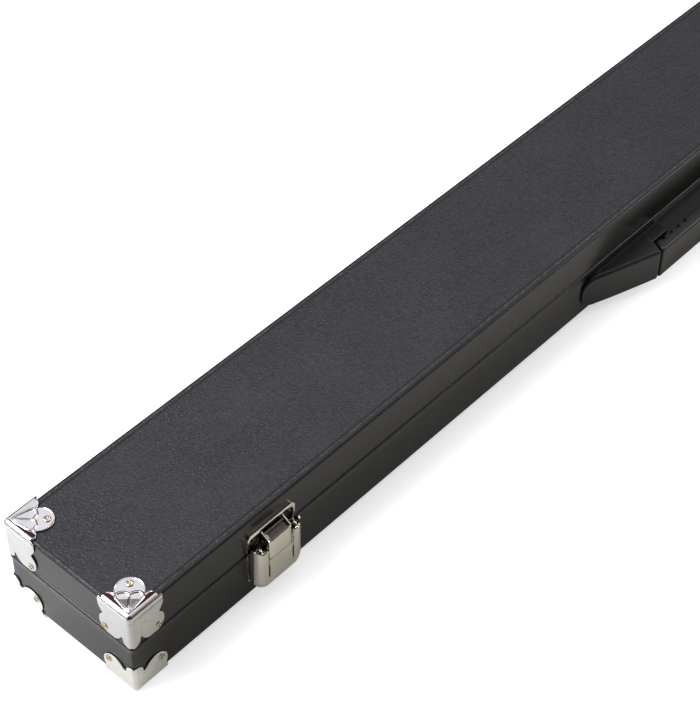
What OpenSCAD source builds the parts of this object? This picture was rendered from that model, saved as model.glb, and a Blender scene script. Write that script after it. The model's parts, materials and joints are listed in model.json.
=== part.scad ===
// Hard case for a two-piece billiard cue: a plywood base and a hinged plywood lid, both
// covered in black leathercloth, with pressed corner plates, two draw latches, three
// butt hinges, a pull-out handle and a channelled foam bed.
// X runs along the case, Y from the latch side to the hinge side, Z up. The origin is on
// the floor, in the middle of the whole footprint.

/* [Box] */
// Length of the covered box
case_l = 860; // [700:10:1200]
// Width of the covered box, latch side to hinge side
case_w = 80; // [76:1:120]
// Height of the covered base, underside to seam
base_h = 30.6; // [30:0.2:50]
// Height of the covered lid, seam to top
lid_h = 22.4; // [22:0.2:40]
// Plywood of the four walls
wall_t = 6; // [6:0.2:8]
// Plywood of the top and bottom panels
panel_t = 3; // [2:0.5:5]
// Radius of the covered edges
edge_r = 1.5; // [1.5:0.1:2]

/* [Leathercloth] */
// Cloth round the sides, over the rims and under the sheets
cover_t = 0.8; // [0.5:0.1:1]
// Separate sheet on the top and on the underside
sheet_t = 0.6; // [0.4:0.1:0.8]
// Distance of the sheet's cut edge from the box's edge
sheet_inset = 1.8; // [1.6:0.1:4]
// Width of the side cloth that is turned under the sheet
flange_w = 14; // [10:1:24]
// Cloth turned down inside the walls
turn_t = 0.5; // [0.3:0.1:0.8]
// Depth of that turned cloth below the rim
turn_h = 9; // [5:0.5:10]

/* [Lining] */
// Fit of the lining inside the walls
lining_gap = 0.2; // [0.1:0.05:0.5]
// Drop of the bed's top below the rim
bed_drop = 3; // [1:0.5:5]
// Radius of the channel for the thick half of the cue
butt_r = 15; // [12:0.5:15]
// Radius of the channel for the thin half of the cue
shaft_r = 10.5; // [8:0.5:11]
// Foam left under the deeper channel
bed_floor = 2.5; // [1.5:0.5:4]
// Foam left beyond each end of the channels
bed_end = 20; // [15:1:60]
// Foam pad under the lid's panel
pad_t = 7; // [4:0.5:9]

/* [Corner plates] */
// Pressed steel of the corner plates
corner_t = 0.8; // [0.6:0.1:1]
// Outside radius of their folds
corner_r = 2.2; // [1.9:0.1:2.6]
// Reach along the edges on the top and underside
cap_reach = 18; // [15:0.5:22]
// Reach along the edges on the side faces
side_reach = 19.5; // [17:0.5:22]
// Height of the base plates on the upright edge
base_corner_h = 15.6; // [12:0.2:17]
// Straight ends of the lid plates' side faces, measured down from the fold
lid_edge_v = 4.6; // [3.4:0.1:6]
// Gap between the lid plates and the seam
corner_seam_gap = 0.4; // [0.3:0.1:2]
// Radius of the large lobe that holds the rivet
lobe_r = 6.9; // [6:0.1:8]
// Radius of the small lobes along the edges
tip_r = 3.4; // [3:0.1:4]

/* [Rivets] */
// Radius of a rivet's head
rivet_head_r = 1.9; // [1.6:0.1:2.2]
// Height of a rivet's head
rivet_head_h = 0.6; // [0.4:0.1:0.8]
// Radius of a rivet's shank
rivet_r = 1.1; // [0.8:0.1:1.3]
// Length of shank below the cloth's surface
rivet_l = 4; // [3.2:0.2:5]
// Clearance round every fixed shank
fix_gap = 0.05; // [0.03:0.01:0.1]

/* [Latches] */
// Distance from the case's end to each latch's middle
latch_inset = 87; // [60:1:200]
// Width of the latch plates
latch_w = 31; // [30:0.5:34]
// Width of the lever
lever_w = 30.4; // [30:0.2:34]
// Sheet steel of the latch plates
latch_t = 1; // [0.8:0.1:1.2]
// Sheet steel of the lever and the claw
lever_t = 0.8; // [0.6:0.1:1]
// Height of the strike plate above the seam
strike_h = 12.4; // [12:0.2:15]
// Depth of the lower plate below the seam
plate_h = 18.8; // [17:0.2:19.5]
// Depth of the lever below the seam
lever_drop = 23; // [21:0.1:24]
// Stand-off of the lever's outer face
lever_out = 7.3; // [7.1:0.1:8]
// Gap between either plate and the seam
latch_seam_gap = 0.4; // [0.3:0.1:1]
// Height of the lever's pivot above the seam
pivot_up = 2; // [1.5:0.1:2.5]
// Depth of the claw's pivot below the seam
claw_pivot_down = 9.4; // [9:0.1:11]
// Width of the claw
claw_w = 14.8; // [13:0.2:15]
// Height of the claw's outer face above the seam
claw_up = 7; // [5:0.1:7.4]
// Depth of the parting line below the seam
parting_down = 4.6; // [4.2:0.1:6.2]
// Width of the slots beside the claw
slot_w = 1; // [0.8:0.1:1.4]
// Depth of the slots below the seam
slot_down = 16.6; // [15:0.2:17]
// Radius of the lever's pivot studs
stud_r = 1.2; // [1:0.1:1.4]
// Radius of the claw's pin
claw_pin_r = 0.85; // [0.7:0.05:1]
// Running clearance round pins and posts
run_gap = 0.05; // [0.03:0.01:0.1]

/* [Handle] */
// Length over both mounts
handle_l = 212.6; // [196:1:240]
// Height of the handle
handle_h = 20.8; // [18:0.2:22]
// Middle of the handle above the box's underside
handle_up = 15; // [14:0.2:17]
// Stand-off of the handle's outer face
handle_out = 16.8; // [16:0.2:20]
// Length of the grip at its outer face
grip_l = 115.2; // [110:1:130]
// Stand-off of the grip's inner face
grip_in = 10; // [9.6:0.1:11]
// Stand-off of the mounts' tongues
tongue_out = 8.4; // [8:0.1:9]
// Length of a tongue from the joint's inner end
tongue_l = 14; // [13:0.5:16]
// Joint gap between the grip and a mount
joint_gap = 0.9; // [0.5:0.1:1.5]
// Radius of a sliding post
post_r = 2; // [1.5:0.1:2.5]
// Radius of a post's head
post_head_r = 4; // [3.4:0.1:4.6]
// Travel of the grip when it is pulled out
grip_travel = 9; // [6:0.5:9]

/* [Hinges] */
// Distance from the case's end to each outer hinge's middle
hinge_inset = 110; // [80:1:180]
// Width of a hinge
hinge_w = 40; // [34:1:60]
// Height of one leaf
leaf_h = 15; // [13:0.5:18]
// Sheet steel of the leaves
leaf_t = 0.9; // [0.8:0.1:1.2]
// Outside radius of the knuckles
knuckle_r = 2.2; // [2:0.1:2.6]
// Radius of the hinge pin
pin_r = 1; // [0.8:0.1:1.2]
// Clearance between a knuckle and the case's back
knuckle_gap = 0.1; // [0.08:0.01:0.3]
// Share of the hinge's width held by the lid's knuckle
lid_knuckle_share = 0.38; // [0.3:0.02:0.45]

/* [Hidden] */
$fn = 64;
// Overrun of every cut
over = 0.5;

// Levels
box_z = corner_t;
seam_z = box_z + base_h;
top_z = seam_z + lid_h;
base_panel_z = box_z + sheet_t + cover_t;
base_wall_z = base_panel_z + panel_t;
base_wall_h = seam_z - cover_t - base_wall_z;
lid_wall_z = seam_z + cover_t;
lid_panel_z = top_z - sheet_t - cover_t - panel_t;
lid_wall_h = lid_panel_z - lid_wall_z;

// Places across the case
hinge_off = knuckle_r + knuckle_gap;
hinge_reach = hinge_off + knuckle_r;
case_y = (handle_out - hinge_reach) / 2;
front_y = case_y - case_w / 2;
back_y = case_y + case_w / 2;
wood_l = case_l - 2 * cover_t;
wood_w = case_w - 2 * cover_t;
room_l = wood_l - 2 * wall_t;
room_w = wood_w - 2 * wall_t;
lining_l = room_l - 2 * (turn_t + lining_gap);
lining_w = room_w - 2 * (turn_t + lining_gap);

// Corner plate outlines: places of the large lobe and of the rivet, as shares of the reach
cap_lobe_share = 0.61;
cap_rivet_share = 0.745;
side_lobe_share = 0.65;
side_rivet_share = 0.82;
lid_lobe_share = 0.71;
lid_rivet_share = 0.84;
base_lobe_share = 0.49;
base_rivet_share = 0.69;
// Offset of the small lobes from the fold, as a share of their radius
tip_share = 0.4;
lid_corner_h = lid_h - corner_seam_gap;
// Corner signs: left is -1 along X, front is -1 along Y
corner_signs = [[-1, -1], [1, -1], [-1, 1], [1, 1]];

// Latch
latch_x = case_l / 2 - latch_inset;
latch_places = [-latch_x, latch_x];
lever_in = latch_t + lever_t;
pivot_out = (lever_out + lever_in - lever_t / 2) / 2;
lever_round = lever_out - pivot_out;
lever_side_r = lever_round + lever_t;
lever_foot_r = lever_w / 5;
ear_t = lever_t;
ear_x = lever_w / 2 - lever_side_r - ear_t / 2;
ear_r = lever_round - lever_t - 2 * run_gap;
claw_pivot_out = pivot_out - lever_t / 4;
claw_arm_r = lever_out - lever_t - claw_pivot_out - 2 * run_gap;
claw_arm_x = claw_w / 2 + 2 * run_gap;
claw_arm_t = slot_w - 4 * run_gap;
// Nearest that the claw's box comes to its pin, so that it swings clear of the lever's face
claw_swing_r = norm([lever_out - claw_pivot_out, claw_pivot_down - parting_down - lever_t / 4])
    + 2 * run_gap;
claw_rise = strike_h * 0.28;
catch_w = claw_w * 2 / 3;
catch_out = latch_t + 2.75 * lever_t;
bar_r = lever_t;
bar_out = catch_out + 4 * lever_t / 10 + bar_r;
bar_up = claw_up - 2 * bar_r;
// Strike plate: rivets and their pressed dishes
strike_rivet_x = latch_w * 3 / 8;
strike_rivet_z = strike_h * 0.55;
strike_dish_r = rivet_head_r + latch_t;
strike_dish_h = latch_t / 2;
strike_corner_r = strike_h / 5;
rim_w = latch_t;
rim_h = latch_t * 0.4;
plate_rivet_x = claw_w / 2 + 2 * rivet_head_r - lever_t;
plate_rivet_z = plate_h * 0.7;

// Handle
handle_z = box_z + handle_up;
mount_l = (handle_l - grip_l) / 2;
// The mount's slope: how far along it and how high the shoulder stands
shoulder_l_share = 0.31;
shoulder_out_share = 0.37;
joint_lean = handle_out / 6.5;
grip_edge_r = handle_out / 9;
nose_r = handle_h * 0.46;
post_x = grip_l / 2 - joint_lean - tongue_l / 2;
post_head_h = post_r;
post_web_t = 1.25 * post_r;
post_inner = -(grip_travel - (tongue_out - post_web_t) + over / 2);
post_pocket_r = post_head_r + over;
post_pocket_deep = -post_inner + post_head_h + over / 2;
post_socket = 2 * post_r;
screw_r = post_r * 0.95;
screw_head_r = 1.8 * screw_r;
screw_head_h = post_r;
screw_reach = tongue_out / 2;
screw_places = [grip_l / 2 + mount_l * 0.18, grip_l / 2 + mount_l * 0.52];
notch_w = joint_gap * 1.6;
notch_deep = joint_gap * 1.8;
notch_pitch = tongue_l / 3;

// Hinges
hinge_x = case_l / 2 - hinge_inset;
hinge_places = [-hinge_x, 0, hinge_x];
knuckle_side_gap = 4 * knuckle_gap;
lid_knuckle_w = hinge_w * lid_knuckle_share;
base_knuckle_w = (hinge_w - lid_knuckle_w) / 2 - knuckle_side_gap;
leaf_rivet_x = hinge_w * 0.3;
leaf_rivet_z = leaf_h * 0.6;
knuckle_clear = knuckle_r + 3 * knuckle_gap;

// Flat outlines

// Rectangle about the origin with four rounded corners
module round_rect(l, w, r) {
    square([l - 2 * r, w], center = true);
    square([l, w - 2 * r], center = true);
    for (sx = [-1, 1], sy = [-1, 1])
        translate([sx * (l / 2 - r), sy * (w / 2 - r)]) circle(r);
}

// Section of a tray: its bottom corners are rounded and its top ones square
module tray_section(w, h, r) {
    translate([-w / 2, r]) square([w, h - r]);
    translate([-w / 2 + r, 0]) square([w - 2 * r, h]);
    for (s = [-1, 1]) translate([s * (w / 2 - r), r]) circle(r);
}

// Square with its corner at the origin, rounded there
module round_corner(u, v, r) {
    translate([r, 0]) square([u - r, v]);
    translate([0, r]) square([u, v - r]);
    translate([r, r]) circle(r);
}

// Prisms

// Outline given as (out, up) from the front face and the seam, drawn along X
module side_prism(w) {
    mirror([0, 1, 0]) rotate([90, 0, 90]) linear_extrude(w, center = true) children();
}

// Outline given as (x, up), drawn outwards from the front face
module front_prism(d) {
    rotate([90, 0, 0]) linear_extrude(d) children();
}

// Cylinder pointing outwards, through the front face
module front_pin(r, from, to) {
    translate([0, -from, 0]) rotate([90, 0, 0]) cylinder(r = r, h = to - from);
}

// Box parts, built with the closed side down

// Covered block with its upright and bottom edges rounded
module round_block(h) {
    intersection() {
        linear_extrude(h) round_rect(case_l, case_w, edge_r);
        rotate([90, 0, 90])
            linear_extrude(case_l + 2 * over, center = true) tray_section(case_w, h, edge_r);
        rotate([90, 0, 0])
            linear_extrude(case_w + 2 * over, center = true) tray_section(case_l, h, edge_r);
    }
}

// Flat ring between two insets from the box's outside
module cloth_ring(outer, inner) {
    difference() {
        square([case_l - 2 * outer, case_w - 2 * outer], center = true);
        square([case_l - 2 * inner, case_w - 2 * inner], center = true);
    }
}

// Side cloth of one half: round the walls, turned under the sheet and over the rim
module side_cloth(h) {
    rim_in = cover_t + wall_t;
    translate([0, 0, sheet_t]) intersection() {
        round_block(h - sheet_t);
        union() {
            linear_extrude(h) cloth_ring(0, cover_t);
            linear_extrude(cover_t) cloth_ring(0, flange_w);
            translate([0, 0, h - sheet_t - cover_t])
                linear_extrude(cover_t) cloth_ring(0, rim_in + turn_t);
            translate([0, 0, h - sheet_t - turn_h])
                linear_extrude(turn_h) cloth_ring(rim_in, rim_in + turn_t);
        }
    }
}

// Long wall at the latch side of a half, standing on z = 0
module long_wall(h) {
    translate([-wood_l / 2, front_y + cover_t, 0]) cube([wood_l, wall_t, h]);
}

// End wall at the left, between the long walls
module end_wall(h) {
    translate([-wood_l / 2, case_y - room_w / 2, 0]) cube([wall_t, room_w, h]);
}

module panel_board() {
    translate([-wood_l / 2, case_y - wood_w / 2, 0]) cube([wood_l, wood_w, panel_t]);
}

module cloth_sheet() {
    l = case_l - 2 * sheet_inset;
    w = case_w - 2 * sheet_inset;
    translate([-l / 2, case_y - w / 2, 0]) cube([l, w, sheet_t]);
}

// Channel for half a cue, open at the top
module cue_channel(r, y) {
    l = lining_l - 2 * bed_end;
    z = base_wall_z + bed_floor + butt_r;
    translate([0, y, z]) {
        rotate([0, 90, 0]) cylinder(r = r, h = l, center = true);
        translate([-l / 2, -r, 0]) cube([l, 2 * r, base_h]);
    }
}

// Corner plates, built with the corner at the origin and the box at x, y, z > 0

// Face of a corner plate: two small lobes along the folds and a large one between them
module corner_face(u, v, lobe_u, lobe_v, edge_v) {
    tip = tip_r * tip_share;
    edge_tip = max(tip, edge_v);
    intersection() {
        translate([-corner_t, -corner_t]) square([u + corner_t, v + corner_t]);
        union() {
            translate([lobe_u, lobe_v]) circle(lobe_r);
            translate([u - tip_r, edge_tip]) circle(tip_r);
            translate([tip, v - tip_r]) circle(tip_r);
            polygon([
                [-corner_t, -corner_t], [u - tip_r, -corner_t], [u - tip_r, edge_tip],
                [lobe_u, lobe_v], [tip, v - tip_r], [-corner_t, v - tip_r]
            ]);
            // Straight end that comes down from the fold, where there is one
            if (edge_v > 0) translate([-corner_t, -corner_t])
                square([u + corner_t, edge_v + corner_t]);
        }
    }
}

// Block with three rounded folds that meet at its corner
module fold_block(a, b, c, r) {
    intersection() {
        linear_extrude(c) round_corner(a, b, r);
        rotate([90, 0, 90]) linear_extrude(a) round_corner(b, c, r);
        translate([0, b, 0]) rotate([90, 0, 0]) linear_extrude(b) round_corner(a, c, r);
    }
}

// Pressed plate: cap outline on the flat face, side outlines on the two upright ones
module corner_plate(h, lobe_v, edge_v) {
    reach = side_reach + over;
    deep = corner_r + over;
    cap_lobe = cap_reach * cap_lobe_share;
    side_lobe = side_reach * side_lobe_share;
    intersection() {
        difference() {
            translate([-corner_t, -corner_t, -corner_t])
                fold_block(reach + corner_t, reach + corner_t, h + over + corner_t, corner_r);
            fold_block(reach + over, reach + over, h + 2 * over, corner_r - corner_t);
        }
        union() {
            translate([0, 0, -deep]) linear_extrude(2 * deep)
                corner_face(cap_reach, cap_reach, cap_lobe, cap_lobe, 0);
            translate([0, deep, 0]) rotate([90, 0, 0]) linear_extrude(2 * deep)
                corner_face(side_reach, h, side_lobe, lobe_v, edge_v);
            translate([-deep, 0, 0]) rotate([90, 0, 90]) linear_extrude(2 * deep)
                corner_face(side_reach, h, side_lobe, lobe_v, edge_v);
        }
    }
}

// Axes of a corner's three rivets: child 0 points out of the box along -Z
module corner_rivet_axes(rivet_v) {
    cap = cap_reach * cap_rivet_share;
    side = side_reach * side_rivet_share;
    translate([cap, cap, 0]) children();
    translate([side, 0, rivet_v]) rotate([-90, 0, 0]) children();
    translate([0, side, rivet_v]) rotate([0, 90, 0]) children();
}

// Round-headed rivet through a plate of thickness t, head at -Z, cloth surface at z = 0
module rivet(t, sink) {
    translate([0, 0, -t]) cylinder(r = rivet_r, h = t + rivet_l);
    translate([0, 0, -t - rivet_head_h + sink]) {
        cylinder(r1 = rivet_head_r - rivet_head_h / 2, r2 = rivet_head_r, h = rivet_head_h / 2);
        translate([0, 0, rivet_head_h / 2]) cylinder(r = rivet_head_r, h = rivet_head_h / 2);
    }
}

module rivet_hole() {
    translate([0, 0, -over - corner_t - latch_t])
        cylinder(r = rivet_r + fix_gap, h = rivet_l + 2 * over + corner_t + latch_t);
}

// Puts a corner's parts at the corner named by its signs, on the base or on the lid
module at_base_corner(s) {
    translate([s[0] * case_l / 2, case_y + s[1] * case_w / 2, box_z])
        mirror([s[0] > 0 ? 1 : 0, 0, 0]) mirror([0, s[1] > 0 ? 1 : 0, 0]) children();
}

module at_lid_corner(s) {
    translate([s[0] * case_l / 2, case_y + s[1] * case_w / 2, top_z])
        mirror([s[0] > 0 ? 1 : 0, 0, 0]) mirror([0, s[1] > 0 ? 1 : 0, 0])
            mirror([0, 0, 1]) children();
}

module base_corner_holes() {
    for (s = corner_signs) at_base_corner(s)
        corner_rivet_axes(base_corner_h * base_rivet_share) rivet_hole();
}

module lid_corner_holes() {
    for (s = corner_signs) at_lid_corner(s)
        corner_rivet_axes(lid_corner_h * lid_rivet_share) rivet_hole();
}

module base_corner(s) {
    color("silver") at_base_corner(s) difference() {
        corner_plate(base_corner_h, base_corner_h * base_lobe_share, 0);
        corner_rivet_axes(base_corner_h * base_rivet_share) rivet_hole();
    }
}

module lid_corner(s) {
    color("silver") at_lid_corner(s) difference() {
        corner_plate(lid_corner_h, lid_corner_h * lid_lobe_share, lid_edge_v);
        corner_rivet_axes(lid_corner_h * lid_rivet_share) rivet_hole();
    }
}

// The base's underside has no rivet, so that nothing stands below the plates
module base_corner_rivets() {
    side = side_reach * side_rivet_share;
    rivet_v = base_corner_h * base_rivet_share;
    color("goldenrod") for (s = corner_signs) at_base_corner(s) {
        translate([side, 0, rivet_v]) rotate([-90, 0, 0]) rivet(corner_t, 0);
        translate([0, side, rivet_v]) rotate([0, 90, 0]) rivet(corner_t, 0);
        translate([cap_reach * cap_rivet_share, cap_reach * cap_rivet_share, 0])
            translate([0, 0, -corner_t]) cylinder(r = rivet_r, h = corner_t + rivet_l);
    }
}

module lid_corner_rivets() {
    color("goldenrod") for (s = corner_signs) at_lid_corner(s)
        corner_rivet_axes(lid_corner_h * lid_rivet_share) rivet(corner_t, 0);
}

// Latch, built round the seam at the middle of the latch: outwards is -Y

module at_latch(i) {
    translate([latch_places[i], front_y, seam_z]) children();
}

module at_strike_rivets() {
    for (s = [-1, 1]) translate([s * strike_rivet_x, 0, strike_rivet_z])
        rotate([-90, 0, 0]) children();
}

module at_plate_rivets() {
    for (s = [-1, 1]) translate([s * plate_rivet_x, 0, -plate_rivet_z])
        rotate([-90, 0, 0]) children();
}

// Strike plate's outline: square at the seam, rounded at the top
module strike_outline(inset) {
    w = latch_w - 2 * inset;
    r = strike_corner_r;
    mirror([0, 1]) translate([0, -strike_h + inset])
        tray_section(w, strike_h - latch_seam_gap - inset, r);
}

module latch_strike(i) {
    color("silver") at_latch(i) difference() {
        union() {
            front_prism(latch_t) strike_outline(0);
            difference() {
                front_prism(latch_t + rim_h) strike_outline(0);
                front_prism(latch_t + rim_h + over) difference() {
                    translate([-latch_w / 2, 0]) square([latch_w, strike_h]);
                    difference() {
                        strike_outline(0);
                        translate([0, -rim_w]) strike_outline(rim_w);
                        translate([-latch_w / 2, -over])
                            square([latch_w, lever_round + pivot_up + over]);
                    }
                }
            }
            side_prism(catch_w) polygon([
                [latch_t - rim_h, claw_up / 3], [latch_t + lever_t, claw_up / 3],
                [catch_out, claw_up - lever_t], [catch_out, claw_up + lever_t],
                [catch_out - lever_t, claw_up + lever_t], [latch_t - rim_h, claw_up * 0.6]
            ]);
        }
        at_strike_rivets() {
            rivet_hole();
            translate([0, 0, -latch_t - over])
                cylinder(r = strike_dish_r, h = strike_dish_h + over);
        }
    }
}

module latch_strike_rivets() {
    color("dimgray") for (i = [0, 1]) at_latch(i) at_strike_rivets() rivet(latch_t, strike_dish_h);
}

// Side view of one ear: a round end about the pivot on a foot that stands on the plate
module ear_outline() {
    translate([pivot_out, pivot_up]) circle(ear_r);
    polygon([
        [latch_t - rim_h, -plate_h / 2], [pivot_out, -plate_h / 4],
        [pivot_out + ear_r, pivot_up], [pivot_out - ear_r, pivot_up],
        [latch_t + fix_gap, -latch_seam_gap], [latch_t - rim_h, -latch_seam_gap]
    ]);
}

module latch_plate(i) {
    color("silver") at_latch(i) difference() {
        union() {
            front_prism(latch_t) translate([-latch_w / 2, -plate_h])
                square([latch_w, plate_h - latch_seam_gap]);
            for (s = [-1, 1]) translate([s * (ear_x + ear_t / 2), 0, 0])
                side_prism(ear_t) ear_outline();
        }
        translate([0, -pivot_out, pivot_up]) rotate([0, 90, 0])
            cylinder(r = stud_r + fix_gap / 2, h = latch_w, center = true);
        at_plate_rivets() rivet_hole();
    }
}

module latch_plate_rivets() {
    color("dimgray") for (i = [0, 1]) at_latch(i) at_plate_rivets() rivet(latch_t, 0);
}

// Studs that carry the lever in the ears, with a head inside each ear
module latch_studs(i) {
    head = stud_r * 1.4;
    color("gainsboro") at_latch(i) for (s = [0, 1]) mirror([s, 0, 0])
        translate([0, -pivot_out, pivot_up]) rotate([0, 90, 0]) {
            translate([0, 0, ear_x - ear_t]) cylinder(r = head, h = ear_t);
            translate([0, 0, ear_x]) cylinder(r = stud_r, h = lever_w / 2 - ear_x);
        }
}

// Space that the lever fills, or with t > 0 the space inside its sheet
module lever_space(t) {
    w = lever_w - 2 * t;
    out = lever_out - t;
    r = lever_side_r - t;
    foot = lever_foot_r - t;
    drop = lever_drop - t;
    top = pivot_up + lever_round;
    back = t > 0 ? lever_in - over : lever_in;
    intersection() {
        // Seen from above: a channel with rounded outer corners
        translate([0, 0, -lever_drop - over]) linear_extrude(lever_drop + top + 3 * over)
            mirror([0, 1]) {
                translate([-w / 2, back]) square([w, out - r - back]);
                translate([-w / 2 + r, back]) square([w - 2 * r, out - back]);
                for (s = [-1, 1]) translate([s * (w / 2 - r), out - r]) circle(r);
            }
        // Seen from the front: rounded lower corners
        translate([0, over, 0]) front_prism(lever_out + 2 * over) {
            translate([0, -drop]) tray_section(w, drop + top + 2 * over, foot);
        }
    }
}

// Side view of the lever: rounded about its pivot, with an eased lower edge
module lever_side() {
    translate([pivot_out, pivot_up]) circle(lever_round);
    polygon([
        [lever_in - over, -lever_drop - over], [lever_out - lever_t, -lever_drop - over],
        [lever_out + over, -lever_drop + lever_t], [lever_out + over, -parting_down],
        [lever_out + over, pivot_up], [lever_in - over, pivot_up]
    ]);
}

// Side view of the lever's inner ears, which carry the claw's pin
module lever_ear_outline() {
    translate([claw_pivot_out, -claw_pivot_down]) circle(claw_arm_r);
    polygon([
        [claw_pivot_out - claw_arm_r, -claw_pivot_down], [lever_out - lever_t / 2, -parting_down - slot_w],
        [lever_out - lever_t / 2, -slot_down + claw_rise],
        [claw_pivot_out, -claw_pivot_down - claw_arm_r]
    ]);
}

module latch_lever(i) {
    top = pivot_up + lever_round;
    slot_x = claw_w / 2 + slot_w;
    color("silver") at_latch(i) difference() {
        union() {
            intersection() {
                difference() {
                    lever_space(0);
                    lever_space(lever_t);
                }
                side_prism(lever_w + over) lever_side();
            }
            for (s = [-1, 1]) translate([s * (claw_w / 2 - lever_t / 2), 0, 0])
                side_prism(lever_t) lever_ear_outline();
        }
        // Slots beside the claw, and the opening that the claw fills
        for (s = [-1, 1]) translate([s * (claw_w / 2 + slot_w / 2), over, 0])
            front_prism(lever_out + 2 * over) translate([-slot_w / 2, -slot_down])
                square([slot_w, slot_down + top + over]);
        translate([0, over, 0]) front_prism(lever_out + 2 * over)
            translate([-slot_x, -parting_down - lever_t / 4])
                square([2 * slot_x, parting_down + lever_t / 4 + top + over]);
        translate([0, -pivot_out, pivot_up]) rotate([0, 90, 0])
            cylinder(r = stud_r + run_gap, h = lever_w + 2 * over, center = true);
        translate([0, -claw_pivot_out, -claw_pivot_down]) rotate([0, 90, 0])
            cylinder(r = claw_pin_r + fix_gap / 2, h = claw_w + over, center = true);
    }
}

// Open box that reaches over the strike's catch. Its two arms swing out through the
// lever's slots.
module latch_claw(i) {
    cheek_top = claw_up + claw_rise;
    cheek_in = lever_in - lever_t / 4;
    arm_out = lever_out - 3 * lever_t / 2;
    color("silver") at_latch(i) {
        difference() {
            union() {
                translate([0, -(lever_out - lever_t), 0]) front_prism(lever_t)
                    translate([-claw_w / 2, -parting_down]) square([claw_w, parting_down + claw_up]);
                for (s = [-1, 1]) translate([s * (claw_w / 2 - lever_t / 2), 0, 0])
                    side_prism(lever_t) polygon([
                        [lever_out - lever_t / 2, -parting_down], [lever_out - lever_t / 2, claw_up],
                        [cheek_in, cheek_top], [cheek_in, claw_up / 3],
                        [claw_pivot_out, -parting_down]
                    ]);
                // Bridges from the box's sides to the arms
                translate([0, 0, -parting_down]) mirror([0, 1, 0])
                    for (s = [0, 1]) mirror([s, 0, 0]) translate([claw_w / 2 - lever_t, claw_pivot_out, 0])
                        cube([claw_arm_x + claw_arm_t - claw_w / 2 + lever_t,
                            arm_out - claw_pivot_out, parting_down]);
                translate([0, -bar_out, bar_up]) rotate([0, 90, 0])
                    cylinder(r = bar_r, h = claw_w - lever_t, center = true);
            }
            translate([0, -claw_pivot_out, -claw_pivot_down]) rotate([0, 90, 0])
                cylinder(r = claw_swing_r, h = 2 * claw_arm_x, center = true);
        }
        difference() {
            for (s = [-1, 1]) translate([s * (claw_arm_x + claw_arm_t / 2), 0, 0])
                side_prism(claw_arm_t) {
                    translate([claw_pivot_out, -claw_pivot_down]) circle(claw_arm_r);
                    polygon([
                        [claw_pivot_out - claw_arm_r, -claw_pivot_down],
                        [claw_pivot_out + claw_arm_r, -claw_pivot_down],
                        [arm_out, -parting_down], [arm_out, 0], [claw_pivot_out, 0]
                    ]);
                }
            translate([0, -claw_pivot_out, -claw_pivot_down]) rotate([0, 90, 0])
                cylinder(r = claw_pin_r + run_gap, h = lever_w, center = true);
        }
    }
}

module latch_claw_pin(i) {
    color("gainsboro") at_latch(i) translate([0, -claw_pivot_out, -claw_pivot_down])
        rotate([0, 90, 0]) cylinder(r = claw_pin_r, h = claw_w + 2 * slot_w, center = true);
}

// Handle, built round its own middle at the front face: outwards is -Y

module at_handle() {
    translate([0, front_y, handle_z]) children();
}

// Left mount: a wedge with a round nose, and a thin tongue that reaches behind the grip
module left_mount() {
    tip = handle_l / 2;
    shoulder = tip - mount_l * shoulder_l_share;
    joint = grip_l / 2 + joint_gap;
    root = joint - joint_lean;
    tongue_end = root - tongue_l;
    nose = nose_r;
    color([0.1, 0.1, 0.11]) difference() {
        intersection() {
            translate([0, 0, -handle_h / 2]) linear_extrude(handle_h) polygon([
                [-tip, 0], [-tip, -joint_gap], [-shoulder, -handle_out * shoulder_out_share],
                [-joint, -handle_out], [-root, -tongue_out], [-tongue_end, -tongue_out],
                [-tongue_end, 0]
            ]);
            translate([0, over, 0]) front_prism(handle_out + 2 * over) {
                translate([-tip + nose, -handle_h / 2]) square([tip - nose, handle_h]);
                translate([-tip, -handle_h / 2 + nose]) square([nose, handle_h - 2 * nose]);
                for (s = [-1, 1]) translate([-tip + nose, s * (handle_h / 2 - nose)]) circle(nose);
            }
        }
        translate([-post_x, 0, 0]) {
            front_pin(post_r + run_gap, -over, tongue_out + over);
            front_pin(post_pocket_r, -over, tongue_out - post_web_t);
        }
        for (x = screw_places) translate([-x, 0, 0])
            front_pin(screw_r + fix_gap, -over, screw_reach);
    }
}

module handle_grip() {
    joint = grip_l / 2;
    root = joint - joint_lean;
    grip_t = handle_out - grip_in;
    color([0.1, 0.1, 0.11]) at_handle() difference() {
        intersection() {
            translate([0, 0, -handle_h / 2]) linear_extrude(handle_h) polygon([
                [-joint, -handle_out], [joint, -handle_out], [root, -grip_in], [-root, -grip_in]
            ]);
            side_prism(grip_l + over) translate([grip_in + grip_t / 2, 0])
                round_rect(grip_t, handle_h, grip_edge_r);
        }
        for (s = [-1, 1]) {
            translate([s * post_x, 0, 0]) front_pin(post_r + fix_gap / 2, grip_in - over,
                grip_in + post_socket);
            for (k = [0:3]) translate([s * (root - notch_w - k * notch_pitch),
                -grip_in, handle_h / 2 - notch_deep])
                translate([-notch_w / 2, -notch_deep, 0])
                    cube([notch_w, notch_deep + over, notch_deep + over]);
        }
    }
}

// Steel post: fixed in the grip, with a head that stops it under the tongue's web
module left_post() {
    color("gainsboro") translate([-post_x, 0, 0]) {
        front_pin(post_r, post_inner - post_head_h, grip_in + post_socket);
        front_pin(post_head_r, post_inner - post_head_h, post_inner);
    }
}

// Screws that hold the mounts from inside the base
module handle_screws() {
    inner = -cover_t - wall_t;
    color("gainsboro") at_handle() for (s = [-1, 1], x = screw_places)
        translate([s * x, 0, 0]) {
            front_pin(screw_head_r, inner, inner + screw_head_h);
            front_pin(screw_r, inner, screw_reach - fix_gap);
        }
}

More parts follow.
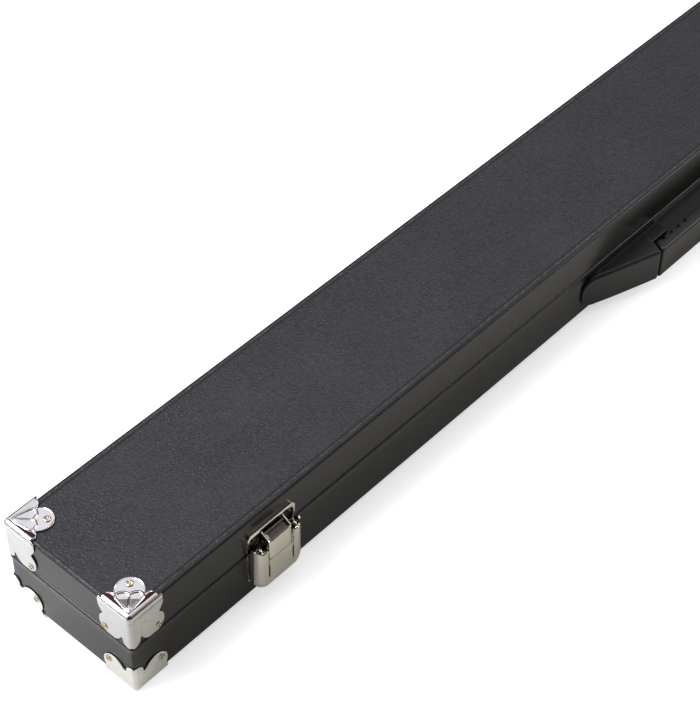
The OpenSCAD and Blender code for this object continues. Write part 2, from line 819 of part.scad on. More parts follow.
// Everything that is drilled for the handle, through the cloth and the front wall
module handle_drills() {
    inner = -cover_t - wall_t;
    at_handle() for (s = [-1, 1]) {
        translate([s * post_x, 0, 0]) front_pin(post_pocket_r, -post_pocket_deep, over);
        for (x = screw_places) translate([s * x, 0, 0]) {
            front_pin(screw_r + fix_gap, inner - over, over);
            front_pin(screw_head_r + fix_gap, inner - over, inner + screw_head_h);
        }
    }
}

// Hinges, built round the pin's middle: outwards is +Y

module at_hinge(i) {
    translate([hinge_places[i], back_y + hinge_off, seam_z]) children();
}

module knuckle(w) {
    rotate([0, 90, 0]) cylinder(r = knuckle_r, h = w, center = true);
}

// Spreads a rivet axis over one leaf, up = 1 on the lid and -1 on the base
module at_leaf_rivets(up) {
    for (s = [-1, 1]) translate([s * leaf_rivet_x, -hinge_off, up * leaf_rivet_z])
        rotate([90, 0, 0]) children();
}

module hinge_bore(gap) {
    rotate([0, 90, 0]) cylinder(r = pin_r + gap, h = hinge_w + 2 * over, center = true);
}

module hinge_base_leaf(i) {
    side = (hinge_w - base_knuckle_w) / 2;
    color("silver") at_hinge(i) difference() {
        union() {
            translate([-hinge_w / 2, -hinge_off, -leaf_h]) cube([hinge_w, leaf_t, leaf_h - knuckle_clear]);
            for (s = [-1, 1]) translate([s * side, 0, 0]) {
                translate([-base_knuckle_w / 2, -hinge_off, -leaf_h])
                    cube([base_knuckle_w, leaf_t, leaf_h]);
                knuckle(base_knuckle_w);
            }
        }
        hinge_bore(fix_gap / 2);
        at_leaf_rivets(-1) rivet_hole();
    }
}

module hinge_lid_leaf(i) {
    color("silver") at_hinge(i) difference() {
        union() {
            translate([-hinge_w / 2, -hinge_off, knuckle_clear])
                cube([hinge_w, leaf_t, leaf_h - knuckle_clear]);
            translate([-lid_knuckle_w / 2, -hinge_off, 0]) cube([lid_knuckle_w, leaf_t, leaf_h]);
            knuckle(lid_knuckle_w);
        }
        hinge_bore(run_gap);
        at_leaf_rivets(1) rivet_hole();
    }
}

module hinge_pin(i) {
    head = pin_r / 3;
    color("gainsboro") at_hinge(i) rotate([0, 90, 0]) {
        cylinder(r = pin_r, h = hinge_w + 2 * head, center = true);
        for (s = [-1, 1]) translate([0, 0, s * (hinge_w + head) / 2])
            cylinder(r = pin_r + 2 * head, h = head, center = true);
    }
}

module hinge_base_rivets() {
    color("silver") for (i = [0, 1, 2]) at_hinge(i) at_leaf_rivets(-1) rivet(leaf_t, 0);
}

module hinge_lid_rivets() {
    color("silver") for (i = [0, 1, 2]) at_hinge(i) at_leaf_rivets(1) rivet(leaf_t, 0);
}

// Box nodes

module base_front_wall() {
    color("burlywood") difference() {
        translate([0, 0, base_wall_z]) long_wall(base_wall_h);
        base_corner_holes();
        for (i = [0, 1]) at_latch(i) at_plate_rivets() rivet_hole();
        handle_drills();
    }
}

module base_back_wall() {
    color("burlywood") difference() {
        translate([0, case_w - wall_t - 2 * cover_t, base_wall_z]) long_wall(base_wall_h);
        base_corner_holes();
        for (i = [0, 1, 2]) at_hinge(i) at_leaf_rivets(-1) rivet_hole();
    }
}

module base_end_wall(side) {
    color("burlywood") difference() {
        mirror([side, 0, 0]) translate([0, 0, base_wall_z]) end_wall(base_wall_h);
        base_corner_holes();
    }
}

module base_panel() {
    color("burlywood") difference() {
        translate([0, 0, base_panel_z]) panel_board();
        base_corner_holes();
    }
}

module base_side_cover() {
    color([0.13, 0.13, 0.14]) difference() {
        translate([0, case_y, box_z]) side_cloth(base_h);
        base_corner_holes();
        for (i = [0, 1]) at_latch(i) at_plate_rivets() rivet_hole();
        for (i = [0, 1, 2]) at_hinge(i) at_leaf_rivets(-1) rivet_hole();
        handle_drills();
    }
}

module base_bottom_cover() {
    color([0.16, 0.16, 0.17]) difference() {
        translate([0, 0, box_z]) cloth_sheet();
        base_corner_holes();
    }
}

module base_bed() {
    spare = (lining_w - 2 * butt_r - 2 * shaft_r) / 3;
    butt_y = case_y - lining_w / 2 + spare + butt_r;
    shaft_y = case_y + lining_w / 2 - spare - shaft_r;
    bed_h = seam_z - bed_drop - base_wall_z;
    color([0.25, 0.05, 0.07]) difference() {
        translate([-lining_l / 2, case_y - lining_w / 2, base_wall_z])
            cube([lining_l, lining_w, bed_h]);
        cue_channel(butt_r, butt_y);
        cue_channel(shaft_r, shaft_y);
    }
}

module lid_front_wall() {
    color("burlywood") difference() {
        translate([0, 0, lid_wall_z]) long_wall(lid_wall_h);
        lid_corner_holes();
        for (i = [0, 1]) at_latch(i) at_strike_rivets() rivet_hole();
    }
}

module lid_back_wall() {
    color("burlywood") difference() {
        translate([0, case_w - wall_t - 2 * cover_t, lid_wall_z]) long_wall(lid_wall_h);
        lid_corner_holes();
        for (i = [0, 1, 2]) at_hinge(i) at_leaf_rivets(1) rivet_hole();
    }
}

module lid_end_wall(side) {
    color("burlywood") difference() {
        mirror([side, 0, 0]) translate([0, 0, lid_wall_z]) end_wall(lid_wall_h);
        lid_corner_holes();
    }
}

module lid_panel() {
    color("burlywood") difference() {
        translate([0, 0, lid_panel_z]) panel_board();
        lid_corner_holes();
    }
}

module lid_side_cover() {
    color([0.13, 0.13, 0.14]) difference() {
        translate([0, case_y, top_z]) mirror([0, 0, 1]) side_cloth(lid_h);
        lid_corner_holes();
        for (i = [0, 1]) at_latch(i) at_strike_rivets() rivet_hole();
        for (i = [0, 1, 2]) at_hinge(i) at_leaf_rivets(1) rivet_hole();
    }
}

module lid_top_cover() {
    color([0.2, 0.2, 0.22]) difference() {
        translate([0, 0, top_z - sheet_t]) cloth_sheet();
        lid_corner_holes();
    }
}

module lid_pad() {
    color([0.25, 0.05, 0.07]) translate([-lining_l / 2, case_y - lining_w / 2, lid_panel_z - pad_t])
        cube([lining_l, lining_w, pad_t]);
}

base_front_wall();
base_back_wall();
base_end_wall(0);  // base_left_wall
base_end_wall(1);  // base_right_wall
base_panel();
base_side_cover();
base_bottom_cover();
base_bed();
lid_front_wall();
lid_back_wall();
lid_end_wall(0);  // lid_left_wall
lid_end_wall(1);  // lid_right_wall
lid_panel();
lid_side_cover();
lid_top_cover();
lid_pad();
lid_corner(corner_signs[0]);  // lid_corner_front_left
lid_corner(corner_signs[1]);  // lid_corner_front_right
lid_corner(corner_signs[2]);  // lid_corner_back_left
lid_corner(corner_signs[3]);  // lid_corner_back_right
base_corner(corner_signs[0]);  // base_corner_front_left
base_corner(corner_signs[1]);  // base_corner_front_right
base_corner(corner_signs[2]);  // base_corner_back_left
base_corner(corner_signs[3]);  // base_corner_back_right
lid_corner_rivets();
base_corner_rivets();
latch_strike(0);  // left_latch_strike
latch_plate(0);  // left_latch_plate
latch_lever(0);  // left_latch_lever
latch_claw(0);  // left_latch_claw
latch_studs(0);  // left_latch_studs
latch_claw_pin(0);  // left_latch_claw_pin
latch_strike(1);  // right_latch_strike
latch_plate(1);  // right_latch_plate
latch_lever(1);  // right_latch_lever
latch_claw(1);  // right_latch_claw
latch_studs(1);  // right_latch_studs
latch_claw_pin(1);  // right_latch_claw_pin
latch_strike_rivets();
latch_plate_rivets();
at_handle() left_mount();  // left_handle_mount
at_handle() mirror([1, 0, 0]) left_mount();  // right_handle_mount
handle_grip();
at_handle() left_post();  // left_handle_post
at_handle() mirror([1, 0, 0]) left_post();  // right_handle_post
handle_screws();
hinge_base_leaf(0);  // left_hinge_base_leaf
hinge_base_leaf(1);  // middle_hinge_base_leaf
hinge_base_leaf(2);  // right_hinge_base_leaf
hinge_lid_leaf(0);  // left_hinge_lid_leaf
hinge_lid_leaf(1);  // middle_hinge_lid_leaf
hinge_lid_leaf(2);  // right_hinge_lid_leaf
hinge_pin(0);  // left_hinge_pin
hinge_pin(1);  // middle_hinge_pin
hinge_pin(2);  // right_hinge_pin
hinge_base_rivets();
hinge_lid_rivets();
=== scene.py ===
import json

import bmesh
import bpy
import numpy as np
from mathutils import Matrix, Vector

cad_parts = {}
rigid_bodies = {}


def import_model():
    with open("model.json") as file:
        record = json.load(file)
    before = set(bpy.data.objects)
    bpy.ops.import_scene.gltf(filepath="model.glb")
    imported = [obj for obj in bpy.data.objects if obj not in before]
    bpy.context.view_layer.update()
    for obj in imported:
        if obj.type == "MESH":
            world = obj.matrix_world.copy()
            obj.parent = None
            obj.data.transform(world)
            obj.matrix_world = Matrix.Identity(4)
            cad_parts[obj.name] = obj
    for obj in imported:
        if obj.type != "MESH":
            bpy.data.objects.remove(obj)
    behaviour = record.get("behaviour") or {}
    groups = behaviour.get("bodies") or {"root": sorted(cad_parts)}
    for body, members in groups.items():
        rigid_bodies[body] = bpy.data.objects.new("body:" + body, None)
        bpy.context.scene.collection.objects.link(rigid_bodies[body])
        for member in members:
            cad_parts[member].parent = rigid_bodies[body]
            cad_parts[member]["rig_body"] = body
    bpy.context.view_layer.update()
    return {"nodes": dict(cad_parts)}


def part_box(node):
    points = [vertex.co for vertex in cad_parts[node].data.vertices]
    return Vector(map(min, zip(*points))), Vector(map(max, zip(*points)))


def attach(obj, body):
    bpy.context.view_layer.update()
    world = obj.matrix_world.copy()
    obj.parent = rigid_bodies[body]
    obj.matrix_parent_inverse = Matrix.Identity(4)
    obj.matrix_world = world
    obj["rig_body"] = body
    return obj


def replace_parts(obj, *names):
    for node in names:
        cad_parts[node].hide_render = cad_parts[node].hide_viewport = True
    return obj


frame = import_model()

mm = 0.001
nodes = frame["nodes"]
scene = bpy.context.scene

# Camera, ground and light
# The case lies on a plain white ground and is seen from above its near left corner. One
# large soft lamp stands behind the left end. The room that the metal mirrors is pale at
# the back and left, and dark behind the camera and low down.
picture_h, focal_px, film_w = 706, 2021.1, 36
eye = (-0.76096, -0.44519, 0.75511)
view_right = (0.669045, -0.743072, 0.014933)
view_up = (0.526048, 0.487644, 0.696761)
view_back = (-0.525026, -0.458309, 0.717147)

camera = bpy.data.cameras.new("camera")
camera.sensor_fit = "AUTO"
camera.sensor_width = film_w
camera.lens = film_w * focal_px / picture_h
camera.clip_start, camera.clip_end = 0.01, 50
camera_object = bpy.data.objects.new("camera", camera)
scene.collection.objects.link(camera_object)
camera_object.matrix_world = Matrix([*zip(view_right, view_up, view_back, eye), (0, 0, 0, 1)])
scene.camera = camera_object

# The case over its cloth; it isn't centred in the frame, because the handle stands out in front
case_l, case_w = 860 * mm, 80 * mm
front_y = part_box("lid_side_cover")[0].y
back_y = front_y + case_w
case_y = (front_y + back_y) / 2


def new_material(name, **sockets):
    """A Principled material with the given plain values on its own sockets."""
    material = bpy.data.materials.new(name)
    material.use_nodes = True
    tree = material.node_tree
    shader = tree.nodes["Principled BSDF"]
    for socket, value in sockets.items():
        shader.inputs[socket.replace("_", " ")].default_value = value
    return material, tree, shader


def grey(level, tint=(1, 1, 1)):
    """One grey level with a tint, as a colour with full alpha."""
    return (level * tint[0], level * tint[1], level * tint[2], 1)


def math(tree, operation, a, b=None, c=None, clamp=False):
    """One Math node; a, b and c are sockets or plain numbers."""
    node = tree.nodes.new("ShaderNodeMath")
    node.operation = operation
    node.use_clamp = clamp
    for i, value in enumerate((a, b, c)):
        if value is None:
            continue
        if isinstance(value, (int, float)):
            node.inputs[i].default_value = value
        else:
            tree.links.new(value, node.inputs[i])
    return node.outputs[0]


def mapped(tree, value, start, end, low=0.0, high=1.0, smooth=False):
    """A Map Range node: low at start, high at end, held beyond them."""
    node = tree.nodes.new("ShaderNodeMapRange")
    node.interpolation_type = "SMOOTHSTEP" if smooth else "LINEAR"
    for socket, number in (("From Min", start), ("From Max", end), ("To Min", low), ("To Max", high)):
        node.inputs[socket].default_value = number
    tree.links.new(value, node.inputs["Value"])
    return node.outputs["Result"]


def mixed(tree, factor, a, b):
    """A colour that goes from a to b with factor; each is a socket or a plain colour."""
    node = tree.nodes.new("ShaderNodeMix")
    node.data_type = "RGBA"
    tree.links.new(factor, node.inputs["Factor"])
    for socket, colour in (("A", a), ("B", b)):
        if isinstance(colour, tuple):
            node.inputs[socket].default_value = colour
        else:
            tree.links.new(colour, node.inputs[socket])
    return node.outputs["Result"]


floor_half = 9.0
floor_mesh = bpy.data.meshes.new("ground")
floor_mesh.from_pydata([(floor_half * x, floor_half * y, 0) for x, y in ((-1, -1), (1, -1), (1, 1), (-1, 1))],
                       [], [(0, 1, 2, 3)])
floor = bpy.data.objects.new("ground", floor_mesh)
scene.collection.objects.link(floor)
floor_paint, tree, shader = new_material("white_ground", Roughness=1.0, Specular_IOR_Level=0.0)
path = tree.nodes.new("ShaderNodeLightPath")
coordinates = tree.nodes.new("ShaderNodeTexCoord")
apart = tree.nodes.new("ShaderNodeSeparateXYZ")
tree.links.new(coordinates.outputs["Object"], apart.inputs[0])
floor_x, floor_y = apart.outputs["X"], apart.outputs["Y"]

# The ground as the case mirrors it carries painted shade: darker and warmer in front of
# the case than elsewhere, and darkest before its left end
seen_tone, bounced_tone = grey(0.68), grey(0.78)
left_painted_shade, middle_painted_shade = grey(0.36, (1, 0.98, 0.84)), grey(0.54, (1, 0.97, 0.88))
left_x, middle_x, behind_y, before_y = -0.38, -0.08, 0.02, -0.06
front_painted_shade = mixed(tree, mapped(tree, floor_x, left_x, middle_x), left_painted_shade, middle_painted_shade)
bounced = mixed(tree, mapped(tree, floor_y, behind_y, before_y), bounced_tone, front_painted_shade)
tree.links.new(mixed(tree, path.outputs["Is Camera Ray"], bounced, seen_tone), shader.inputs["Base Color"])

# The ground's own lift is lower within two centimetres of the case, for a tight contact shadow
shadow_reach, shadow_lift, open_lift, mirror_lift = 20 * mm, 0.59, 0.745, 0.08
off_ends = math(tree, "SUBTRACT", math(tree, "ABSOLUTE", floor_x), case_l / 2)
off_sides = math(tree, "ABSOLUTE", math(tree, "SUBTRACT", floor_y, case_y))
off_sides = math(tree, "SUBTRACT", off_sides, case_w / 2)
glow = mapped(tree, math(tree, "MAXIMUM", off_ends, off_sides), 0, shadow_reach, shadow_lift, open_lift)
glow = math(tree, "MULTIPLY", path.outputs["Is Camera Ray"], glow)
for seen_by in ("Is Glossy Ray", "Is Transmission Ray"):
    glow = math(tree, "MULTIPLY_ADD", path.outputs[seen_by], mirror_lift, glow)
lift = tree.nodes.new("ShaderNodeEmission")
lift.inputs["Color"].default_value = grey(1)
tree.links.new(glow, lift.inputs["Strength"])
both = tree.nodes.new("ShaderNodeAddShader")
tree.links.new(shader.outputs[0], both.inputs[0])
tree.links.new(lift.outputs[0], both.inputs[1])
tree.links.new(both.outputs[0], tree.nodes["Material Output"].inputs["Surface"])
floor_mesh.materials.append(floor_paint)

world = bpy.data.worlds.new("studio")
scene.world = world
world.use_nodes = True
tree = world.node_tree
direction = tree.nodes.new("ShaderNodeTexCoord").outputs["Generated"]


def towards(axis, start, end):
    """0 to 1 as the direction comes nearer to axis: a smooth step from one cosine to another."""
    dot = tree.nodes.new("ShaderNodeVectorMath")
    dot.operation = "DOT_PRODUCT"
    dot.inputs[1].default_value = Vector(axis).normalized()
    tree.links.new(direction, dot.inputs[0])
    return mapped(tree, dot.outputs["Value"], start, end, smooth=True)


# The mirrored room, each part over those before it: the pale back and left, the dark
# behind the camera, dark red low beyond the case and on the right, a low dark ring all
# round, and a window far on the right
room = (0.1, 0.098, 0.085, 1)
for axis, start, end, colour in (((-0.35, 0.6, 0.75), -0.35, 0.75, (0.98, 0.97, 1.06, 1)),
                                 ((-0.5, -0.75, 0.45), 0.5, 0.8, (0.03, 0.024, 0.02, 1)),
                                 ((0.616, 0.788, -0.02), 0.73, 0.785, (0.07, 0.022, 0.02, 1)),
                                 ((0.9, -0.3, 0.4), 0.8, 0.93, (0.09, 0.03, 0.03, 1)),
                                 ((0, 0, 1), 0.28, 0.1, (0.06, 0.055, 0.05, 1)),
                                 ((0.78, -0.45, 0.43), 0.955, 0.985, (4.5, 4.5, 4.4, 1))):
    room = mixed(tree, towards(axis, start, end), room, colour)
mirrored = tree.nodes["Background"]
tree.links.new(room, mirrored.inputs["Color"])
backdrop = tree.nodes.new("ShaderNodeBackground")
backdrop.inputs["Color"].default_value = grey(1)
path = tree.nodes.new("ShaderNodeLightPath")
choice = tree.nodes.new("ShaderNodeMixShader")
tree.links.new(path.outputs["Is Camera Ray"], choice.inputs["Fac"])
tree.links.new(mirrored.outputs[0], choice.inputs[1])
tree.links.new(backdrop.outputs[0], choice.inputs[2])
tree.links.new(choice.outputs[0], tree.nodes["World Output"].inputs["Surface"])

lamp_at, lamp_aim, lamp_side, lamp_watts = Vector((-1.5, 1.1, 2.3)), Vector((-0.2, 0, 0)), 1.4, 78
lamp = bpy.data.lights.new("key_light", "AREA")
lamp.shape = "RECTANGLE"
lamp.size, lamp.size_y, lamp.energy = lamp_side, lamp_side, lamp_watts
lamp_object = bpy.data.objects.new("key_light", lamp)
scene.collection.objects.link(lamp_object)
away = (lamp_at - lamp_aim).normalized()
across = Vector((0, 0, 1)).cross(away).normalized()
lamp_object.matrix_world = Matrix([*zip(across, away.cross(across), away, lamp_at), (0, 0, 0, 1)])

# Plywood shell
# Four sawn birch walls and a top or bottom board for each half, glued and pinned.
# They show only inside, between the lining and the rim.


def texture_place(tree, scale=(1, 1, 1), turn=(0, 0, 0)):
    """Object coordinates, stretched and turned by a Mapping node."""
    coordinates = tree.nodes.new("ShaderNodeTexCoord")
    mapping = tree.nodes.new("ShaderNodeMapping")
    mapping.inputs["Scale"].default_value = scale
    mapping.inputs["Rotation"].default_value = turn
    tree.links.new(coordinates.outputs["Object"], mapping.inputs["Vector"])
    return mapping.outputs[0]


def noise(tree, vector, scale, detail=3.0, rough=0.5, distortion=0.0, output="Fac"):
    """A noise texture's value, or its colour, on the given coordinates."""
    node = tree.nodes.new("ShaderNodeTexNoise")
    node.inputs["Scale"].default_value = scale
    node.inputs["Detail"].default_value = detail
    node.inputs["Roughness"].default_value = rough
    node.inputs["Distortion"].default_value = distortion
    tree.links.new(vector, node.inputs["Vector"])
    return node.outputs[output]


def ramp(tree, value, stops):
    """A colour ramp through (position, colour) stops."""
    node = tree.nodes.new("ShaderNodeValToRGB")
    band = node.color_ramp
    band.elements[0].position, band.elements[0].color = stops[0]
    band.elements[1].position, band.elements[1].color = stops[-1]
    for position, colour in stops[1:-1]:
        band.elements.new(position).color = colour
    tree.links.new(value, node.inputs["Fac"])
    return node.outputs["Color"]


def bump(tree, shader, height, strength, distance):
    """A Bump node from height into the shader's Normal."""
    node = tree.nodes.new("ShaderNodeBump")
    node.inputs["Strength"].default_value = strength
    node.inputs["Distance"].default_value = distance
    tree.links.new(height, node.inputs["Height"])
    tree.links.new(node.outputs[0], shader.inputs["Normal"])


def paint(material, *names):
    """Puts one material on all of the named CAD pieces."""
    for name in names:
        nodes[name].data.materials.clear()
        nodes[name].data.materials.append(material)


late_wood, early_wood, bright_wood = (0.42, 0.27, 0.15, 1), (0.62, 0.45, 0.28, 1), (0.74, 0.58, 0.4, 1)
along_grain = (9, 160, 160)
birch, tree, shader = new_material("birch_plywood", Roughness=0.62)
grain = noise(tree, texture_place(tree, along_grain), 3, detail=5, rough=0.6, distortion=0.6)
tree.links.new(ramp(tree, grain, [(0.3, late_wood), (0.55, early_wood), (0.75, bright_wood)]),
               shader.inputs["Base Color"])
bump(tree, shader, grain, 0.3, 0.4 * mm)
paint(birch, "base_panel", "lid_panel",
      *(half + side + "_wall" for half in ("base_", "lid_") for side in ("front", "back", "left", "right")))

# Leathercloth
# PVC-coated cotton, glued on. The grain is a net of creases between flat pebbles,
# pressed in more deeply on the top sheet than round the sides.


def leather_group():
    """Node group: fine creased grain as a height, and its valleys as a mask for painted shade.

    Pebbles are the distance to the nearest Voronoi cell edge, rounded by a smooth step,
    on coordinates that are stretched along the case, turned a little and shaken twice.
    Wrinkles from a noise of the same size run over them, the depth differs a little from
    patch to patch, and the cloth under them waves slowly.
    """
    stretch, turned = (0.6, 1, 1), (0, 0, 0.14)
    slow_shake, fine_shake = (55, 4 * mm), (480, 0.7 * mm)
    pebble_edge, wrinkle_share, wrinkle_h, cloth_h, least_depth = 0.4, 0.8, 1.6, 0.5, 0.6
    group = bpy.data.node_groups.new("leather_grain", "ShaderNodeTree")
    socket = group.interface.new_socket("Pebble Size", in_out="INPUT", socket_type="NodeSocketFloat")
    socket.default_value = 2 * mm
    for name in ("Height", "Valley"):
        group.interface.new_socket(name, in_out="OUTPUT", socket_type="NodeSocketFloat")
    into = group.nodes.new("NodeGroupInput")
    out = group.nodes.new("NodeGroupOutput")
    place = texture_place(group, stretch, turned)
    scale = math(group, "DIVIDE", 1.0, into.outputs["Pebble Size"])

    def shaken(vector, frequency, amount):
        """vector plus a noise vector of the given reach."""
        shake = noise(group, vector, frequency, detail=1, output="Color")
        moved = group.nodes.new("ShaderNodeVectorMath")
        moved.operation = "MULTIPLY_ADD"
        moved.inputs[1].default_value = (amount, amount, amount)
        group.links.new(shake, moved.inputs[0])
        group.links.new(vector, moved.inputs[2])
        return moved.outputs[0]

    bent = shaken(shaken(place, *slow_shake), *fine_shake)
    cells = group.nodes.new("ShaderNodeTexVoronoi")
    cells.feature = "DISTANCE_TO_EDGE"
    group.links.new(scale, cells.inputs["Scale"])
    group.links.new(bent, cells.inputs["Vector"])
    pebbles = mapped(group, cells.outputs["Distance"], 0, pebble_edge, smooth=True)
    wrinkle = group.nodes.new("ShaderNodeTexNoise")
    wrinkle.inputs["Detail"].default_value = 2
    group.links.new(math(group, "MULTIPLY", scale, wrinkle_share), wrinkle.inputs["Scale"])
    group.links.new(bent, wrinkle.inputs["Vector"])
    patches = math(group, "MULTIPLY_ADD", noise(group, place, 42, 3, 0.6), 2.2, -0.6, clamp=True)
    patches = math(group, "MULTIPLY_ADD", patches, 1 - least_depth, least_depth)
    together = math(group, "MULTIPLY_ADD", wrinkle.outputs["Fac"], wrinkle_h, pebbles)
    together = math(group, "MULTIPLY", together, patches)
    group.links.new(math(group, "MULTIPLY_ADD", noise(group, place, 160, 2), cloth_h, together),
                    out.inputs["Height"])
    low_part = math(group, "MULTIPLY_ADD", wrinkle.outputs["Fac"], -2.0, 1.5, clamp=True)
    low_part = math(group, "MULTIPLY", low_part, math(group, "SUBTRACT", 1.0, pebbles))
    group.links.new(math(group, "MULTIPLY", low_part, patches), out.inputs["Valley"])
    return group


grain_group = leather_group()


def leathercloth(name, level, tint, rough, pebble, depth, painted_crease_shade):
    """Leathercloth: colour with slow mottling and painted shade in the creases, and the pressed grain."""
    material, tree, shader = new_material(name, Roughness=rough)
    node = tree.nodes.new("ShaderNodeGroup")
    node.node_tree = grain_group
    node.inputs["Pebble Size"].default_value = pebble
    mottle = noise(tree, texture_place(tree), 28, 3)
    base = ramp(tree, mottle, [(0.3, grey(level * 0.9, tint)), (0.7, grey(level * 1.1, tint))])
    colour = mixed(tree, node.outputs["Valley"], base, grey(level * painted_crease_shade, tint))
    tree.links.new(colour, shader.inputs["Base Color"])
    bump(tree, shader, node.outputs["Height"], 1.0, depth)
    return material, tree, shader, colour


def attribute(tree, name):
    """The value of a mesh's own point attribute."""
    node = tree.nodes.new("ShaderNodeAttribute")
    node.attribute_name = name
    return node.outputs["Fac"]


# The sides' cloth is darker than the top sheet's: partly the cloth's own colour, partly painted shade
side_cloth, tree, shader, colour = leathercloth("leathercloth_sides", level=0.012, tint=(1.06, 1.0, 0.9),
                                                rough=0.24, pebble=3 * mm, depth=0.012 * mm, painted_crease_shade=0.85)
shader.inputs["Specular IOR Level"].default_value = 0.46

# Two attributes of the sheet: "border" is 1 in its pressed border, which is dull and darkened
# with painted shade, and "ridge" is 1 on the raised cut edge, which carries a painted highlight in paler
# specks
sheet_rough, border_rough = 0.42, 0.87
groove_shade_tone, ridge_highlight_tone = grey(0.004), grey(0.09)
# The top sheet's colour is lighter and bluer than the sides': partly the cloth's own colour, partly painted
# sheen
top_cloth, tree, shader, colour = leathercloth("leathercloth_sheet", level=0.032, tint=(0.98, 0.96, 1.1),
                                               rough=sheet_rough, pebble=1.3 * mm, depth=0.16 * mm,
                                               painted_crease_shade=0.2)
border = attribute(tree, "border")
specks = math(tree, "MULTIPLY_ADD", noise(tree, texture_place(tree), 700, 2), 5.0, -2.2, clamp=True)
ridge_highlight = math(tree, "MULTIPLY", attribute(tree, "ridge"), specks)
tree.links.new(mixed(tree, ridge_highlight, mixed(tree, border, colour, groove_shade_tone), ridge_highlight_tone),
               shader.inputs["Base Color"])
tree.links.new(math(tree, "MULTIPLY_ADD", border, border_rough - sheet_rough, sheet_rough),
               shader.inputs["Roughness"])

base_h, lid_h = 30.6 * mm, 22.4 * mm
box_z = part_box("base_bottom_cover")[0].z
seam_z, top_z = box_z + base_h, box_z + base_h + lid_h


def placed(name, mesh, material, body, *stands_for):
    """A finished mesh as a piece of one material, riding on a CAD body."""
    mesh.materials.append(material)
    ob = bpy.data.objects.new(name, mesh)
    scene.collection.objects.link(ob)
    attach(ob, body)
    if stands_for:
        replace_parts(ob, *stands_for)
    return ob


def mesh_piece(name, points, faces, material, body, *stands_for):
    """A smooth-shaded piece from arrays of points and faces."""
    mesh = bpy.data.meshes.new(name)
    mesh.from_pydata([tuple(p) for p in np.asarray(points, float).tolist()], [], [tuple(f) for f in faces])
    mesh.update()
    mesh.polygons.foreach_set("use_smooth", np.ones(len(mesh.polygons), bool))
    return placed(name, mesh, material, body, *stands_for)


def grid_faces(rows, columns, start=0, wrap=False):
    """Quads over a rows by columns grid of points, with the last column joined to the first if wrap."""
    r, c = np.meshgrid(np.arange(rows - 1), np.arange(columns if wrap else columns - 1), indexing="ij")
    a = start + r * columns + c
    b = start + r * columns + (c + 1) % columns
    return np.stack([a, b, b + columns, a + columns], -1).reshape(-1, 4)


def ruled_positions(length, fine, coarse, reach):
    """Distances from -length/2 to length/2 that are fine near both ends and coarse between them."""
    near = np.arange(0, reach, fine)
    middle = np.linspace(reach, length - reach, max(2, int((length - 2 * reach) / coarse)))
    return np.concatenate([near, middle, length - near[::-1]]) - length / 2


def grid_rim(rows, columns):
    """Point numbers once round the border of a rows by columns grid."""
    index = np.arange(rows * columns).reshape(rows, columns)
    return np.concatenate([index[0, :-1], index[:-1, -1], index[-1, :0:-1], index[:0:-1, 0]])


def rounded_drop(inset, radius):
    """How far a face falls at a distance inset from a border rounded by a quarter circle."""
    return radius * (1 - np.sqrt(1 - np.clip(1 - inset / radius, 0, 1) ** 2))


def mark_points(ob, name, values):
    """Writes one number for each point into the mesh, as an attribute for its material."""
    layer = ob.data.attributes.new(name, "FLOAT", "POINT")
    layer.data.foreach_set("value", values.reshape(-1).astype(np.float32))


edge_r, sheet_end = 1.5 * mm, 0.35 * mm
ridge_h, ridge_in, ridge_w = 0.24 * mm, 0.7 * mm, 0.45 * mm
groove_h, groove_in, groove_w, end_groove_share = 0.34 * mm, 1.95 * mm, 0.42 * mm, 0.15


def cloth_sheet(name, node, body, seed, up):
    """A sheet of leathercloth with a soft cut edge and a groove pressed inside it.

    Height over the sheet = thickness, rounded down at the cut. A ridge of glue and
    stretched cloth, of random height from place to place, follows the cut, and a
    groove inside it divides it from the grain. Both are bell curves of the distance from
    the cut, and both are marked for the material: the ridge for a painted highlight in
    specks, the groove for painted shade. At the two ends the sheet is drawn down over
    the case's rounded edge.
    """
    low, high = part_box(node)
    width, thick = high.y - low.y, high.z - low.z
    length = case_l - 2 * sheet_end
    x = ruled_positions(length, fine=0.25 * mm, coarse=1.3 * mm, reach=4 * mm)
    y = ruled_positions(width, fine=0.3 * mm, coarse=2 * mm, reach=4 * mm)
    gx, gy = np.meshgrid(x, y, indexing="ij")
    in_x, in_y = length / 2 - np.abs(gx), width / 2 - np.abs(gy)
    edge = np.minimum(in_x, in_y)
    rng = np.random.default_rng(seed)
    wander = np.interp(gx, np.linspace(-length / 2, length / 2, 640), rng.uniform(0.0, 1.0, 640))
    ridge = np.exp(-((edge - ridge_in) / ridge_w) ** 2) * wander
    groove = np.exp(-((edge - groove_in) / groove_w) ** 2) * np.where(in_y < in_x, 1.0, end_groove_share)
    cut_r = 0.9 * thick
    height = (thick - ridge_h) * (1 - rounded_drop(edge, cut_r) / cut_r) + ridge_h * ridge - groove_h * groove
    height = height - rounded_drop(case_l / 2 - np.abs(gx), edge_r)
    z = (low.z + height) if up else (high.z - height)
    points = np.stack([gx, gy + (low.y + high.y) / 2, z], -1)
    faces, rim = grid_faces(*gx.shape), grid_rim(*gx.shape)
    if not up:
        faces, rim = faces[:, ::-1], rim[::-1]
    faces = [*faces.tolist(), rim.tolist()]
    ob = mesh_piece(name, points.reshape(-1, 3), faces, top_cloth, body, node)
    ob.data.polygons[len(faces) - 1].use_smooth = False
    mark_points(ob, "border", groove)
    mark_points(ob, "ridge", ridge)


cloth_sheet("top_sheet", "lid_top_cover", "lid", 3, True)
cloth_sheet("bottom_sheet", "base_bottom_cover", "base", 4, False)

# Under the sheet the side cloth ends in a flange, and inside the case it is turned in over the wall
cover_t, wall_t, turn_t, turn_h = 0.8 * mm, 6 * mm, 0.5 * mm, 9 * mm
sheet_t, flange_w = 0.6 * mm, 14 * mm
wave_h, rim_back, waves_round = 0.035 * mm, 0.1 * mm, (9, 23, 47, 80)


